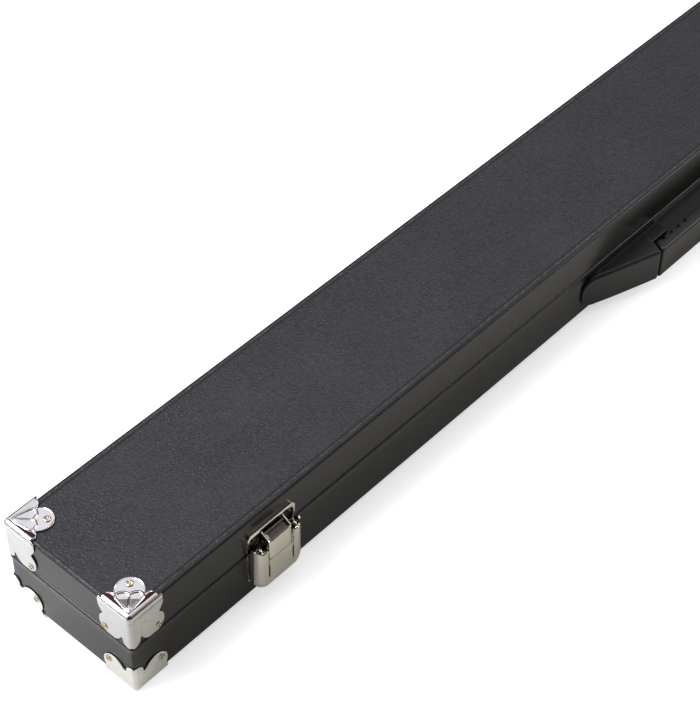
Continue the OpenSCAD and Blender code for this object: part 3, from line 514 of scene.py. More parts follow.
def side_cover(name, node, body, h, face_z, up, proud, seed):
    """Cloth round a half's four sides: a cross-section swept round a rounded rectangle.

    The section is (inset, depth from the flat face): along the flange, round the fold,
    down the side, round the rim into the case, and down the inside of the wall. The rim
    wanders in depth by a sum of sine waves, because the cloth is turned over by hand, and
    it stands proud of the side where the cloth is doubled.
    """
    def arc(cx, cy, r, start, end, count=7):
        a = np.radians(np.linspace(start, end, count))
        return np.stack([cx + r * np.cos(a), cy + r * np.sin(a)], -1)

    rim_r, inner = 0.5 * mm + proud, cover_t + wall_t + turn_t
    section = np.concatenate([
        [(flange_w, sheet_t), (5 * mm, sheet_t)], arc(edge_r, sheet_t + edge_r, edge_r, -90, -180, 9),
        np.stack([np.zeros(9), np.linspace(sheet_t + edge_r + 0.2 * mm, h - 3 * mm, 9)], -1),
        [(-proud * 0.5, h - 1.8 * mm), (-proud, h - rim_r - 0.3 * mm)],
        arc(rim_r - proud, h - rim_r, rim_r, 180, 90), [(2 * mm, h), (4.5 * mm, h)],
        arc(inner - rim_r, h - rim_r, rim_r, 90, 0), [(inner, h - turn_h), (inner - turn_t, h - turn_h)]])
    along_x = np.linspace(-1, 1, 330)
    along_y = np.linspace(-1, 1, 32)
    rows = []
    rng = np.random.default_rng(seed)
    waves = [(rng.uniform(0.3, 1.0), k, rng.uniform(0, 6.28)) for k in waves_round]
    for inset, depth in section:
        r = max(edge_r - inset, 0.05 * mm)
        half_l, half_w = case_l / 2 - inset, case_w / 2 - inset
        ring = []
        sides = ((half_l, half_w, along_x), (half_w, half_l, along_y)) * 2
        for turn, (u_half, v_half, along) in enumerate(sides):
            straight = np.stack([along * (u_half - r), np.full(len(along), -v_half)], -1)
            corner = arc(u_half - r, -v_half + r, r, -90, 0, 9)[1:-1]
            c, s = np.cos(turn * np.pi / 2), np.sin(turn * np.pi / 2)
            ring.append(np.concatenate([straight, corner]) @ np.array([[c, s], [-s, c]]))
        ring = np.concatenate(ring)
        share = np.clip((depth - 0.6 * h) / (0.4 * h), 0, 1)
        t = np.arange(len(ring)) / len(ring) * 2 * np.pi
        wander = sum(a * np.sin(k * t + phase) for a, k, phase in waves) * wave_h
        z = face_z + (1 if up else -1) * (depth + (wander - rim_back) * share)
        rows.append(np.column_stack([ring[:, 0], ring[:, 1] + case_y, z]))
    points = np.array(rows)
    faces = grid_faces(*points.shape[:2], wrap=True)
    if up:
        faces = faces[:, ::-1]
    ob = mesh_piece(name, points.reshape(-1, 3), faces.tolist(), side_cloth, body, node)


side_cover("base_sides", "base_side_cover", "base", base_h, box_z, True, 0.5 * mm, 10)
side_cover("lid_sides", "lid_side_cover", "lid", lid_h, top_z, False, 0, 9)

# Lining
# Foam bed with two round channels, and a foam pad in the lid, both under short plush.
# The plush is stretched over the foam, rounded at its edges and a little uneven.
down_red, even_red, up_red = (0.09, 0.006, 0.014, 1), (0.14, 0.012, 0.024, 1), (0.2, 0.02, 0.035, 1)
plush, tree, shader = new_material("plush", Roughness=0.95, Sheen_Weight=0.6, Sheen_Roughness=0.4,
                                   Sheen_Tint=(0.9, 0.35, 0.4, 1))
pile = noise(tree, texture_place(tree), 1500, 2)
brushed = noise(tree, texture_place(tree, (1, 2.5, 1)), 22, detail=3, rough=0.6, distortion=1.0)
tree.links.new(ramp(tree, brushed, [(0.3, down_red), (0.5, even_red), (0.7, up_red)]),
               shader.inputs["Base Color"])
bump(tree, shader, pile, 0.6, 0.6 * mm)

# The wide channel is for the cue's butt and the narrow one for its shaft
butt_y, shaft_y = -6.683 * mm, 23.483 * mm
butt_r, shaft_r = 15 * mm, 10.5 * mm
channel_z, channel_half, channel_end = 22.7 * mm, 402.5 * mm, 6 * mm
plush_r, lip_w, lip_share = 2.2 * mm, 1.6 * mm, 0.35
bed_swell, pillow_h, pad_swell, pillows = 0.15 * mm, 0.9 * mm, 0.1 * mm, 3
bed_wave_x, bed_wave_y, pad_wave_x = 61, 143, 47


def soft_block(name, node, body, top_height, up):
    """A padded slab: a grid over its open face, folded down round the four sides.

    The face is the given height function; within the edge radius it turns down along a
    quarter circle, and the sides go straight to the slab's other face.
    """
    low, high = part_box(node)
    length, width = high.x - low.x, high.y - low.y
    x = ruled_positions(length, fine=1.2 * mm, coarse=4 * mm, reach=24 * mm)
    y = ruled_positions(width, fine=0.5 * mm, coarse=0.8 * mm, reach=5 * mm)
    gx, gy = np.meshgrid(x, y, indexing="ij")
    edge = np.minimum(length / 2 - np.abs(gx), width / 2 - np.abs(gy))
    y = gy + (low.y + high.y) / 2
    face, back, sign = (high.z, low.z, 1) if up else (low.z, high.z, -1)
    z = face + sign * (top_height(gx, y) - rounded_drop(edge, plush_r))
    top = np.stack([gx, y, z], -1).reshape(-1, 3)
    rim = grid_rim(*gx.shape)
    foot = top[rim]
    foot[:, 2] = back
    bottom = len(top) + np.arange(len(rim))
    walls = np.stack([rim, bottom, np.roll(bottom, -1), np.roll(rim, -1)], -1)
    faces = grid_faces(*gx.shape)
    if up:
        walls = walls[:, ::-1]
    else:
        faces, bottom = faces[:, ::-1], bottom[::-1]
    faces = [*faces.tolist(), *walls.tolist(), bottom.tolist()]
    ob = mesh_piece(name, np.concatenate([top, foot]), faces, plush, body, node)


def channel_depth(across, radius, y, along):
    """Depth of a round channel: a circle about channel_z with plumb walls above its axis.

    Its ends are rounded off, and its rims eased by a parabola over the lip's width.
    """
    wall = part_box("base_bed")[1].z - channel_z
    offset = np.abs(y - across)
    bowl = wall + np.sqrt(np.clip(radius ** 2 - offset ** 2, 0, None))
    lip = lip_share * wall * np.clip((radius + lip_w - offset) / lip_w, 0, 1) ** 2
    end = np.clip((channel_half - np.abs(along)) / channel_end, 0, 1)
    return np.where(offset < radius, bowl, lip) * np.sqrt(1 - (1 - end) ** 2)


def bed_height(x, y):
    """The bed's face: flat with a faint quilted swell, less the two channels."""
    swell = bed_swell * np.sin(x * bed_wave_x) * np.cos(y * bed_wave_y)
    deep = np.maximum(channel_depth(butt_y, butt_r, y, x), channel_depth(shaft_y, shaft_r, y, x))
    return np.minimum(swell, 0) - deep


def pad_height(x, y):
    """The pad's face: three long pillows, a little lower where the plush is glued down."""
    low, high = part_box("lid_pad")
    share = (y - low.y) / (high.y - low.y)
    pillow = np.sqrt(np.abs(np.sin(np.pi * pillows * share)))
    return (pillow - 1) * pillow_h - pad_swell * (1 + np.sin(x * pad_wave_x))


soft_block("plush_bed", "base_bed", "base", bed_height, True)
soft_block("plush_pad", "lid_pad", "lid", pad_height, False)

# Corner plates
# Caps pressed from steel sheet and nickelled: a lobed face on the flat side and one on each
# upright side, joined by rolled beads, with a heart pressed into the flat face.


def rub_group():
    """Node group for plated metal: spots of tone, fine rub marks and slow waves, each 0 to 1."""
    group = bpy.data.node_groups.new("rubbed_metal", "ShaderNodeTree")
    for name in ("Spots", "Marks", "Waves"):
        group.interface.new_socket(name, in_out="OUTPUT", socket_type="NodeSocketFloat")
    out = group.nodes.new("NodeGroupOutput")
    place = texture_place(group)
    group.links.new(noise(group, place, 140, 3), out.inputs["Spots"])
    group.links.new(noise(group, place, 900, 3, 0.6), out.inputs["Marks"])
    group.links.new(noise(group, place, 90, 2), out.inputs["Waves"])
    return group


rubbed_metal = rub_group()


def plated(name, level, tint, rough, wave, matte=0.0):
    """Plated steel: slow waves in the surface, and rub marks that change the roughness.

    Where a mesh's attribute "matte" is 1, the roughness is higher by that amount.
    """
    material, tree, shader = new_material(name, Metallic=1.0)
    node = tree.nodes.new("ShaderNodeGroup")
    node.node_tree = rubbed_metal
    spots, marks, waves = node.outputs
    tree.links.new(ramp(tree, spots, [(0.35, grey(level * 0.95, tint)), (0.65, grey(level, tint))]),
                   shader.inputs["Base Color"])
    roughness = math(tree, "MULTIPLY_ADD", marks, rough * 0.8, rough * 0.6)
    if matte:
        roughness = math(tree, "MULTIPLY_ADD", attribute(tree, "matte"), matte, roughness)
    tree.links.new(roughness, shader.inputs["Roughness"])
    bump(tree, shader, waves, 0.5, wave)
    return material


nickel = plated("nickel_plate", 0.78, (1, 0.995, 0.98), 0.14, 0.08 * mm, matte=0.34)
# The base's plates take a lighter copy of the same nickel: painted light where they mirror the shadowed
# ground
lighter_base_nickel = plated("nickel_plate_low_lit", 0.96, (1, 0.995, 0.96), 0.14, 0.08 * mm, matte=0.42)

# A plate's outline is measured from the corner of the cloth: a cap's reach along both edges,
# an upright face's along the long edge and down, and the middles of their round lobes
plate_t, fold_r, sheet_share, rim_h, rim_in, relief_in = 0.8 * mm, 2.2 * mm, 0.6, 0.2 * mm, 0.5 * mm, 0.9 * mm
cap_reach, side_reach, lid_deep, base_deep = 18 * mm, 19.5 * mm, 22 * mm, 15.6 * mm
lobe_r, tip_r, waist_in, lid_shoulder = 6.9 * mm, 3.4 * mm, 1.1 * mm, 4.6 * mm
cap_lobe, side_lobe = 0.61 * cap_reach, 0.65 * side_reach
lid_lobe, base_lobe = 0.71 * lid_deep, 0.49 * base_deep
cap_rivet, dish_h, dish_r, dish_edge = 13.41 * mm, 0.5 * mm, 1.9 * mm, 0.5 * mm

# Across a cap: its level ground, the bead along the fold, and the heart from point to lobes
ground_h, bead_h, bead_top, bead_slope, bead_power = -0.35 * mm, 0.9 * mm, 0.9 * mm, 2.9 * mm, 1.15
heart_along, spine_along, heart_wall = (4 * mm, 13.5 * mm), (4 * mm, 7 * mm), (0.1 * mm, 0.8 * mm)
heart_floor, welt_heights, welt_r = (0.5 * mm, -0.72 * mm), (0.55 * mm, 0.2 * mm), 0.6 * mm
spine_h, spine_w = 0.3 * mm, 0.4 * mm


def soft_step(value, low, high):
    """0 below low, 1 above high, and a smooth rise between."""
    share = np.clip((value - low) / (high - low), 0, 1)
    return share * share * (3 - 2 * share)


def inside_ring(x, y, ring):
    """Whether each point is inside a closed ring: a ray from it crosses the ring an odd number of times."""
    inside = np.zeros(x.shape, bool)
    for (ax, ay), (bx, by) in zip(ring, np.roll(ring, -1, axis=0)):
        if ay != by:
            inside ^= (y >= min(ay, by)) & (y < max(ay, by)) & (x < ax + (y - ay) * (bx - ax) / (by - ay))
    return inside


def plate_outline(angle, u, v, lobe_u, lobe_v, edge_v):
    """Distance from the corner to the plate's edge at each angle.

    The face is a polygon joined to three round lobes, with a straight end of depth
    edge_v at the side; the edge is the farthest point on each ray that is still inside
    one of them and inside u by v.
    """
    far = np.linspace(0, 1.5 * max(u, v), 900)[None, :]
    x = far * np.cos(angle)[:, None] - plate_t
    y = far * np.sin(angle)[:, None] - plate_t
    tip = tip_r * 0.4
    end_v = max(tip, edge_v)
    waist_u = u - waist_in if edge_v > 0 else u - tip_r
    ring = np.array([(-plate_t, -plate_t), (waist_u, -plate_t), (waist_u, max(end_v, edge_v + 3 * mm)),
                     (lobe_u, lobe_v), (tip, v - tip_r), (-plate_t, v - tip_r)])
    inside = inside_ring(x, y, ring) | (far < 1 * mm)
    for cx, cy, r in ((lobe_u, lobe_v, lobe_r), (u - tip_r, end_v, tip_r), (tip, v - tip_r, tip_r)):
        inside |= (x - cx) ** 2 + (y - cy) ** 2 <= r ** 2
    if edge_v > 0:
        inside |= (y <= edge_v)
    inside &= (x <= u) & (y <= v)
    return np.where(inside, far, 0).max(1)


def near_curve(x, y, curve):
    """Distance from each point to a line of points."""
    apart = np.hypot(x[..., None] - curve[:, 0], y[..., None] - curve[:, 1])
    return apart.min(-1)


# Half of the heart, on and across the corner's diagonal, with its corners cut twice
heart_half = np.array([(3.3, 0.0), (4.4, 1.7), (6.8, 3.2), (9.4, 4.9), (11.6, 6.3), (13.4, 5.7), (14.3, 3.7),
                       (13.9, 1.4), (12.8, 0.0)]) * mm
for cut in range(2):
    a, b = heart_half[:-1], heart_half[1:]
    between = np.stack([a * 0.75 + b * 0.25, a * 0.25 + b * 0.75], 1).reshape(-1, 2)
    heart_half = np.concatenate([heart_half[:1], between, heart_half[-1:]])
heart_ring = np.concatenate([heart_half, heart_half[-2:0:-1] * (1, -1)])
heart_line = np.concatenate([heart_ring + (np.roll(heart_ring, -1, axis=0) - heart_ring) * s
                             for s in np.linspace(0, 1, 5)[:-1]])


def cap_height(x, y, pressed):
    """Relief of the flat face: two rolled beads along the edges, and the heart.

    Each bead has a narrow flat top by the fold and a nearly straight slope inwards. The
    heart's floor slopes down from its point to its lobes inside a welt of round section,
    and a narrow spine runs along the diagonal. Without pressing there is only the rivet's dish.
    """
    if not pressed:
        dish = np.hypot(x - cap_rivet, y - cap_rivet)
        return -dish_h * (1 - soft_step(dish, dish_r, dish_r + dish_edge))
    along, across = (x + y) / np.sqrt(2), (x - y) / np.sqrt(2)
    bead = np.clip(1 - np.clip(np.minimum(x, y) - bead_top, 0, None) / bead_slope, 0, 1) ** bead_power
    height = ground_h + bead_h * bead
    apart = near_curve(along, across, heart_line)
    signed = np.where(inside_ring(along, across, heart_ring), apart, -apart)
    slant = np.interp(along, heart_along, heart_floor)
    spine = spine_h * np.exp(-(across / spine_w) ** 2) * soft_step(along, *spine_along)
    share = soft_step(signed, *heart_wall)
    height = height * (1 - share) + (slant + spine) * share
    welt = np.sqrt(np.clip(1 - (signed / welt_r) ** 2, 0, 1))
    return np.maximum(height, ground_h + (np.interp(along, heart_along, welt_heights) - ground_h) * welt)


def fan(x, y, apex, leaves):
    """Relief of a pressed fan: raised sectors about an apex, with a welt round each arc.

    Each leaf rises from one side to the other, and its welt is a bell curve of the
    distance from its edge.
    """
    reach = np.hypot(x - apex[0], y - apex[1])
    angle = np.degrees(np.arctan2(y - apex[1], x - apex[0]))
    relief = np.zeros(x.shape)
    for radius, start, end in leaves:
        edge = np.minimum(radius - reach, reach * np.sin(np.radians(np.clip(
            np.minimum(angle - start, end - angle), -90, 90))))
        leaf = soft_step(edge, 0, leaf_edge) * (leaf_low + leaf_rise * (angle - start) / (end - start))
        welt = leaf_welt_h * np.exp(-((edge - leaf_welt_in) / leaf_welt_w) ** 2) * (reach > 0.6 * radius)
        relief += (leaf + welt) * (reach > apex_r)
    return relief


# A fan is its apex and, for each of its leaves, the radius and the angles that it spans
lid_fan = (3.6 * mm, 5.8 * mm), ((10.8 * mm, 6, 36), (9.9 * mm, 45, 84))
base_fan = (2.2 * mm, 1.6 * mm), ((9 * mm, 8, 34), (8.4 * mm, 46, 84))
leaf_low, leaf_rise, leaf_edge, apex_r = 0.12 * mm, 0.1 * mm, 0.5 * mm, 0.8 * mm
leaf_welt_h, leaf_welt_in, leaf_welt_w = 0.14 * mm, 0.35 * mm, 0.25 * mm
foot_h, foot_from, foot_w = 0.5 * mm, 1.4 * mm, 2.2 * mm
crease_h, crease_at, crease_w = 0.3 * mm, 3.75 * mm, 0.2 * mm


def side_relief(x, y, pressed, on_front):
    """Relief of an upright face: the bead's foot, and on the long sides a pressed fan.

    y is the distance from the flat face. The foot ends in a quarter ellipse over a narrow crease.
    """
    relief = fan(x, y, *(lid_fan if pressed else base_fan)) if on_front else 0 * x
    if pressed:
        foot = np.sqrt(np.clip(1 - (np.clip(y - foot_from, 0, None) / foot_w) ** 2, 0, 1))
        relief = relief + foot_h * foot - crease_h * np.exp(-((y - crease_at) / crease_w) ** 2)
    return relief


# Between these distances from the flat face the upright faces turn dull
dull_from_lid, dull_from_base = (3.6 * mm, 4.6 * mm), (0.5 * mm, 1.5 * mm)
# The grid of a face: rays about the corner, and rings at shares of each ray's length
plate_rays = 145
ring_shares = np.concatenate([np.linspace(0, 0.2, 20)[:-1], np.linspace(0.2, 0.95, 74)[:-1],
                              np.linspace(0.95, 1, 9)])


def corner_piece(name, node, body, x_sign, y_sign, flat_z, deep, lobe_v, edge_v, on_lid):
    """One corner plate: three polar grids about the corner, one on each face.

    A point of the sharp-edged plate is pulled in to a ball of the fold's radius that
    rolls inside the corner, then pushed out along the ball's radius by the relief, which
    fades out towards the outline, where the rim is turned in a little. The base's plates,
    which show least, are pressed more plainly than the lid's.
    """
    points, faces, dull, start = [], [], [], 0
    for face in ("cap", "front", "end"):
        angle = np.linspace(0, np.pi / 2, plate_rays)
        if face == "cap":
            reach = plate_outline(angle, cap_reach, cap_reach, cap_lobe, cap_lobe, 0)
        else:
            reach = plate_outline(angle, side_reach, deep, side_lobe, lobe_v, edge_v)
        radius = ring_shares[:, None] * reach[None, :]
        x = radius * np.cos(angle) - plate_t
        y = radius * np.sin(angle) - plate_t
        inset = reach[None, :] - radius
        relief = cap_height(x, y, on_lid) if face == "cap" else side_relief(x, y, on_lid, face == "front")
        relief = relief * soft_step(inset, 0, relief_in) - rim_h * np.clip(1 - inset / rim_in, 0, 1) ** 2
        outside = np.full(x.shape, -plate_t)
        sharp = np.stack({"cap": (x, y, outside), "front": (x, outside, y), "end": (outside, x, y)}[face], -1)
        ball = np.maximum(sharp, fold_r - plate_t)
        out = sharp - ball
        out /= np.linalg.norm(out, axis=-1, keepdims=True)
        points.append((ball + out * (fold_r + relief[..., None])).reshape(-1, 3))
        faces.append(grid_faces(*x.shape, start=start))
        if face == "cap":
            dull.append(0 * x.reshape(-1))
        else:
            dull.append(soft_step(y, *(dull_from_lid if on_lid else dull_from_base)).reshape(-1))
        start += x.size
    local = np.concatenate(points)
    flat = np.stack([x_sign * (case_l / 2 - local[:, 0]),
                     front_y + local[:, 1] if y_sign < 0 else back_y - local[:, 1],
                     flat_z - local[:, 2] if on_lid else flat_z + local[:, 2]], -1)
    ob = mesh_piece(name, flat, np.concatenate(faces).tolist(), nickel if on_lid else lighter_base_nickel,
                    body, node)
    mark_points(ob, "matte", np.concatenate(dull))
    bm = bmesh.new()
    bm.from_mesh(ob.data)
    bmesh.ops.remove_doubles(bm, verts=bm.verts, dist=0.02 * mm)
    bmesh.ops.recalc_face_normals(bm, faces=bm.faces)
    middle = Vector(flat.mean(0))
    outward = sum((f.calc_center_median() - middle).dot(f.normal) * f.calc_area() for f in bm.faces)
    if outward < 0:
        bmesh.ops.reverse_faces(bm, faces=bm.faces)
    bm.to_mesh(ob.data)
    bm.free()
    wall = ob.modifiers.new("sheet", "SOLIDIFY")
    wall.thickness, wall.offset = plate_t * sheet_share, -1


for half, flat_z, deep, lobe_v, edge_v in (("lid", top_z, lid_deep, lid_lobe, lid_shoulder),
                                           ("base", box_z, base_deep, base_lobe, 0)):
    for x_sign, y_sign, end in ((-1, -1, "front_left"), (1, -1, "front_right"),
                                (-1, 1, "back_left"), (1, 1, "back_right")):
        node = half + "_corner_" + end
        corner_piece(node + "_plate", node, half, x_sign, y_sign, flat_z, deep, lobe_v, edge_v, half == "lid")

# Corner rivets
# Brassed tubular rivets through the plates, each head set down with a star-shaped punch.
brassed = plated("brassed_rivet", 0.7, (1, 0.86, 0.62), 0.22, 0.03 * mm)
head_r, head_h, side_rivet = 1.9 * mm, 0.6 * mm, 15.99 * mm
lid_rivet_z, base_rivet_z = top_z - 18.48 * mm, box_z + 10.76 * mm
lid_head_z, base_head_z = top_z + 0.45 * mm, 0.65 * mm
star_share, point_share, slope_share, punch_share, head_turn = 0.5, 0.13, 0.1, 0.85, 0.7


def rivet_heads(name, node, body, places):
    """Domed rivet heads with a crimped star in the middle.

    Height at (r, angle) = the head's height times a flattened quarter ellipse, less a
    dimple whose edge is a five-pointed star. Each place is a centre and an outward axis,
    and the stars are turned from one to the next.
    """
    share = np.array([0.0, 0.12, 0.25, 0.35, 0.42, 0.5, 0.58, 0.66, 0.75, 0.84, 0.91, 0.96, 1.0])
    turn = np.linspace(0, 2 * np.pi, 60, endpoint=False)
    gs, gt = np.meshgrid(share, turn, indexing="ij")
    dome = np.sqrt(np.clip(1 - (gs * 0.98) ** 4, 0, 1))
    star = star_share + point_share * np.cos(5 * gt)
    punched = 1 - soft_step(gs, star - slope_share, star + slope_share)
    height = head_h * (dome - punch_share * punched)
    points, faces, start = [], [], 0
    for k, (centre, axis) in enumerate(places):
        axis = np.array(axis, float)
        side = np.cross(axis, (0.3, 0.5, 0.8))
        side /= np.linalg.norm(side)
        up = np.cross(axis, side)
        a = gt + k * head_turn
        local = (np.array(centre) + (gs * head_r * np.cos(a))[..., None] * side
                 + (gs * head_r * np.sin(a))[..., None] * up + height[..., None] * axis)
        points.append(local.reshape(-1, 3))
        faces.append(grid_faces(*gs.shape, start=start, wrap=True))
        start += gs.size
    return mesh_piece(name, np.concatenate(points), np.concatenate(faces).tolist(), brassed, body, node)


def corner_places(half):
    """Centre and outward axis of each rivet on one half's four corner plates."""
    level, head_z, flat_axis = ((lid_rivet_z, lid_head_z, (0, 0, 1)) if half == "lid"
                                else (base_rivet_z, base_head_z, (0, 0, -1)))
    places = []
    for s in (-1, 1):
        for t, face_y in ((-1, front_y), (1, back_y)):
            places.append(((s * (case_l / 2 - side_rivet), face_y + t * plate_t, level), (0, t, 0)))
            places.append(((s * (case_l / 2 + plate_t), face_y - t * side_rivet, level), (s, 0, 0)))
            places.append(((s * (case_l / 2 - cap_rivet), face_y - t * cap_rivet, head_z), flat_axis))
    return places


for half in ("lid", "base"):
    ob = rivet_heads(half + "_corner_rivet_heads", half + "_corner_rivets", half, corner_places(half))

# Latches
# Draw latches: a strike plate on the lid, a lower plate on the base, a folded lever and
# a claw that reaches up over the strike. All are pressed and nickelled.
latch_nickel = plated("latch_nickel", 0.95, (1, 0.965, 0.83), 0.11, 0.08 * mm)
# A dark copy of the latch nickel, as painted shade: on the lever's and claw's inner faces, the claw's tray,
# the strike's hollow, the studs and the claw's pin
latch_shade = plated("latch_shade", 0.16, (1, 0.9, 0.76), 0.2, 0.08 * mm)
# Dark steel for the rivets of the latches and hinges: partly the steel's own tone, partly painted shade in
# their recesses
rivet_steel_and_shade = plated("rivet_steel_and_shade", 0.12, (1, 0.97, 0.9), 0.35, 0.03 * mm)

# Names in n are distances outward from the front wall, and names in z, drop and down are from the seam
latch_x = 343 * mm
lever_half, lever_out, lever_in, lever_t = 15.2 * mm, 7.3 * mm, 1.8 * mm, 0.8 * mm
lever_drop, lever_side_r, lever_foot_r = 23 * mm, 3.75 * mm, 6.08 * mm
pivot_n, pivot_z, lever_round = 4.35 * mm, 2 * mm, 2.95 * mm
claw_half, slot_w, slot_down, opening_down = 7.4 * mm, 1 * mm, 16.6 * mm, 4.8 * mm
claw_pivot_n, claw_pivot_z, claw_arm_r = 4.15 * mm, -9.4 * mm, 2.25 * mm
foot_lean_z, foot_lean_h, foot_lean_in = -21.2 * mm, 1.8 * mm, 0.9 * mm
ear_n, ear_top, ear_low, ear_span = 6.8 * mm, -5.7 * mm, -13.2 * mm, (6.6 * mm, 7.35 * mm)
fitting_edge, shell_edge, smooth_under = 0.15 * mm, 0.14 * mm, np.radians(35)


def drop_loose(bm):
    """Deletes the points that no face uses."""
    bmesh.ops.delete(bm, geom=[v for v in bm.verts if not v.link_faces], context="VERTS")


def mark_creases(bm):
    """Shades every edge smooth whose two faces meet at a small angle, and the others sharp."""
    for e in bm.edges:
        e.smooth = len(e.link_faces) == 2 and bool(e.calc_face_angle() < smooth_under)


def bmesh_piece(name, bm, material, body, *stands_for):
    """A piece from a finished bmesh, which is freed."""
    mesh = bpy.data.meshes.new(name)
    bm.to_mesh(mesh)
    bm.free()
    return placed(name, mesh, material, body, *stands_for)


def rounded_copy(name, material, *parts):
    """The named CAD pieces again, as one piece, with every crease rounded off.

    Loose triangles are merged, flat ones joined into whole faces, and each edge whose
    faces meet at more than 25 degrees is bevelled.
    """
    bm = bmesh.new()
    for part in parts:
        bm.from_mesh(nodes[part].data)
    bmesh.ops.remove_doubles(bm, verts=bm.verts, dist=0.002 * mm)
    bmesh.ops.dissolve_limit(bm, angle_limit=np.radians(0.5), verts=bm.verts, edges=bm.edges)
    creases = [e for e in bm.edges if len(e.link_faces) == 2 and e.calc_face_angle() > np.radians(25)]
    bmesh.ops.bevel(bm, geom=creases, offset=fitting_edge, offset_type="OFFSET", segments=2,
                    profile=0.5, affect="EDGES", clamp_overlap=True)
    mark_creases(bm)
    for f in bm.faces:
        f.smooth = True
    return bmesh_piece(name, bm, material, nodes[parts[0]]["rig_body"], *parts)


def pressed_sheet(name, points, keep, body, place_x, sheet, *stands_for):
    """Sheet metal from a grid of (across, outward, up) points at one latch.

    Cells whose mark is false are cut out, the rest is thickened inwards, and its cut
    edges are bevelled.
    """
    flat = points.reshape(-1, 3)
    place = np.column_stack([place_x + flat[:, 0], front_y - flat[:, 1], seam_z + flat[:, 2]])
    faces = grid_faces(*points.shape[:2])[keep.reshape(-1)]
    ob = mesh_piece(name, place, faces.tolist(), latch_nickel, body, *stands_for)
    bm = bmesh.new()
    bm.from_mesh(ob.data)
    bmesh.ops.remove_doubles(bm, verts=bm.verts, dist=0.01 * mm)
    drop_loose(bm)
    bm.to_mesh(ob.data)
    bm.free()
    # The thickened inner faces take the dark copy of the latch metal, as painted shade
    ob.data.materials.append(latch_shade)
    wall = ob.modifiers.new("sheet", "SOLIDIFY")
    wall.thickness, wall.offset, wall.use_even_offset = sheet, -1, False
    wall.material_offset = 1
    edge = ob.modifiers.new("edge", "BEVEL")
    edge.width, edge.segments, edge.limit_method = shell_edge, 2, "ANGLE"
    edge.angle_limit, edge.harden_normals = np.radians(50), True
    return ob


def blade_pairs(shapes, body, place_x, material):
    """Flat blades in pairs, one on each side of a latch's middle.

    A shape is its pieces' name, the (outward, up) points whose convex hull the blade is,
    and the two distances across between which it lies. The last blade is returned.
    """
    for sign, end in ((-1, "a"), (1, "b")):
        for name, outline, span in shapes:
            bm = bmesh.new()
            for across in span:
                for n, z in outline:
                    bm.verts.new((place_x + sign * across, front_y - n, seam_z + z))
            bmesh.ops.convex_hull(bm, input=bm.verts)
            drop_loose(bm)
            bmesh.ops.dissolve_limit(bm, angle_limit=np.radians(1), verts=bm.verts, edges=bm.edges)
            bmesh.ops.recalc_face_normals(bm, faces=bm.faces)
            ob = bmesh_piece(name + end, bm, material, body)
    return ob


def circle_points(n, z, r, count=20):
    """Points on a circle in the side view."""
    a = np.linspace(0, 2 * np.pi, count, endpoint=False)
    return [(n + r * np.cos(t), z + r * np.sin(t)) for t in a]


def lever_shell(side, place_x, body):
    """The lever: a channel round the claw, rounded at its sides, foot and pivot.

    Each row at height z has the half width of the foot's rounding and the outward reach
    of its eased lower edge. Columns go from the back of one side round its corner and
    across. Above the claw's opening the rows rise to a circle about the pivot.
    """
    # The foot's lowest row keeps a little width, so that its cells stay open
    def half_width(z):
        low = np.clip((-lever_drop + lever_foot_r - z) / lever_foot_r, 0, 1)
        return lever_half - lever_foot_r * (1 - np.sqrt(1 - low ** 2 * 0.999))

    def outward(z):
        lean = np.clip((foot_lean_z - z) / foot_lean_h, 0, 1)
        return lever_out - foot_lean_in * lean ** 2

    slot_edge, clear = claw_half + slot_w, 0.05 * mm
    low = np.concatenate([-lever_drop + (lever_drop - slot_down) * np.linspace(0, 1, 12)[:-1] ** 1.3,
                          np.linspace(-slot_down, -opening_down, 12)[:-1]])
    rows = [(z, 0) for z in low] + [(-opening_down, share) for share in np.linspace(0, 1, 12)]
    grid = []
    for z, rise in rows:
        w, n = half_width(z), outward(z)
        r = min(lever_side_r, max(w - slot_edge - clear, 0.3 * mm), n - lever_in - clear)
        right = [(w, lever_in + (n - r - lever_in) * k) for k in np.linspace(0, 1, 9)[:-1]]
        right += [(w - r + r * np.cos(t), n - r + r * np.sin(t)) for t in np.linspace(0, np.pi / 2, 16)]
        right += [(w - r + (slot_edge - (w - r)) * k, n) for k in np.linspace(0, 1, 5)[1:]]
        inner = [(x, n) for x in np.linspace(-claw_half, claw_half, 9)]
        section = np.array([(-x, m) for x, m in right] + inner + right[::-1])
        arch = pivot_z + np.sqrt(np.clip(lever_round ** 2 - (section[:, 1] - pivot_n) ** 2, 0, None))
        grid.append(np.column_stack([section, z + (arch + opening_down) * rise]))
    points = np.array(grid)
    middle = (points[:-1, :-1, 0] + points[1:, 1:, 0]) / 2
    level = (points[:-1, :-1, 2] + points[1:, 1:, 2]) / 2
    in_slot = (np.abs(middle) > claw_half) & (np.abs(middle) < slot_edge) & (level > -slot_down)
    in_opening = (np.abs(middle) < claw_half) & (level > -opening_down)
    pressed_sheet(side + "_lever", points, ~(in_slot | in_opening), body, place_x, lever_t,
                  side + "_latch_lever")
    ear = circle_points(claw_pivot_n, claw_pivot_z, claw_arm_r) + [(ear_n, ear_top), (ear_n, ear_low)]
    blade_pairs([(side + "_lever_ear_", ear, ear_span)], body, place_x, latch_nickel)


claw_back, claw_corner, parting = 1.6 * mm, 1.3 * mm, -4.6 * mm
front_top, claw_rise, back_low, cheek_n = 7 * mm, 3.47 * mm, 2.3 * mm, 6.1 * mm
tray_back, tray_gap, tray_t, tray_rim, tray_deep = 2.4 * mm, 0.5 * mm, 0.3 * mm, 0.3 * mm, 1.1 * mm
tray_side, tray_curl = 1.9 * mm, 1.4 * mm
arm_span, bridge_span = (7.5 * mm, 8.3 * mm), (6.7 * mm, 7.9 * mm)


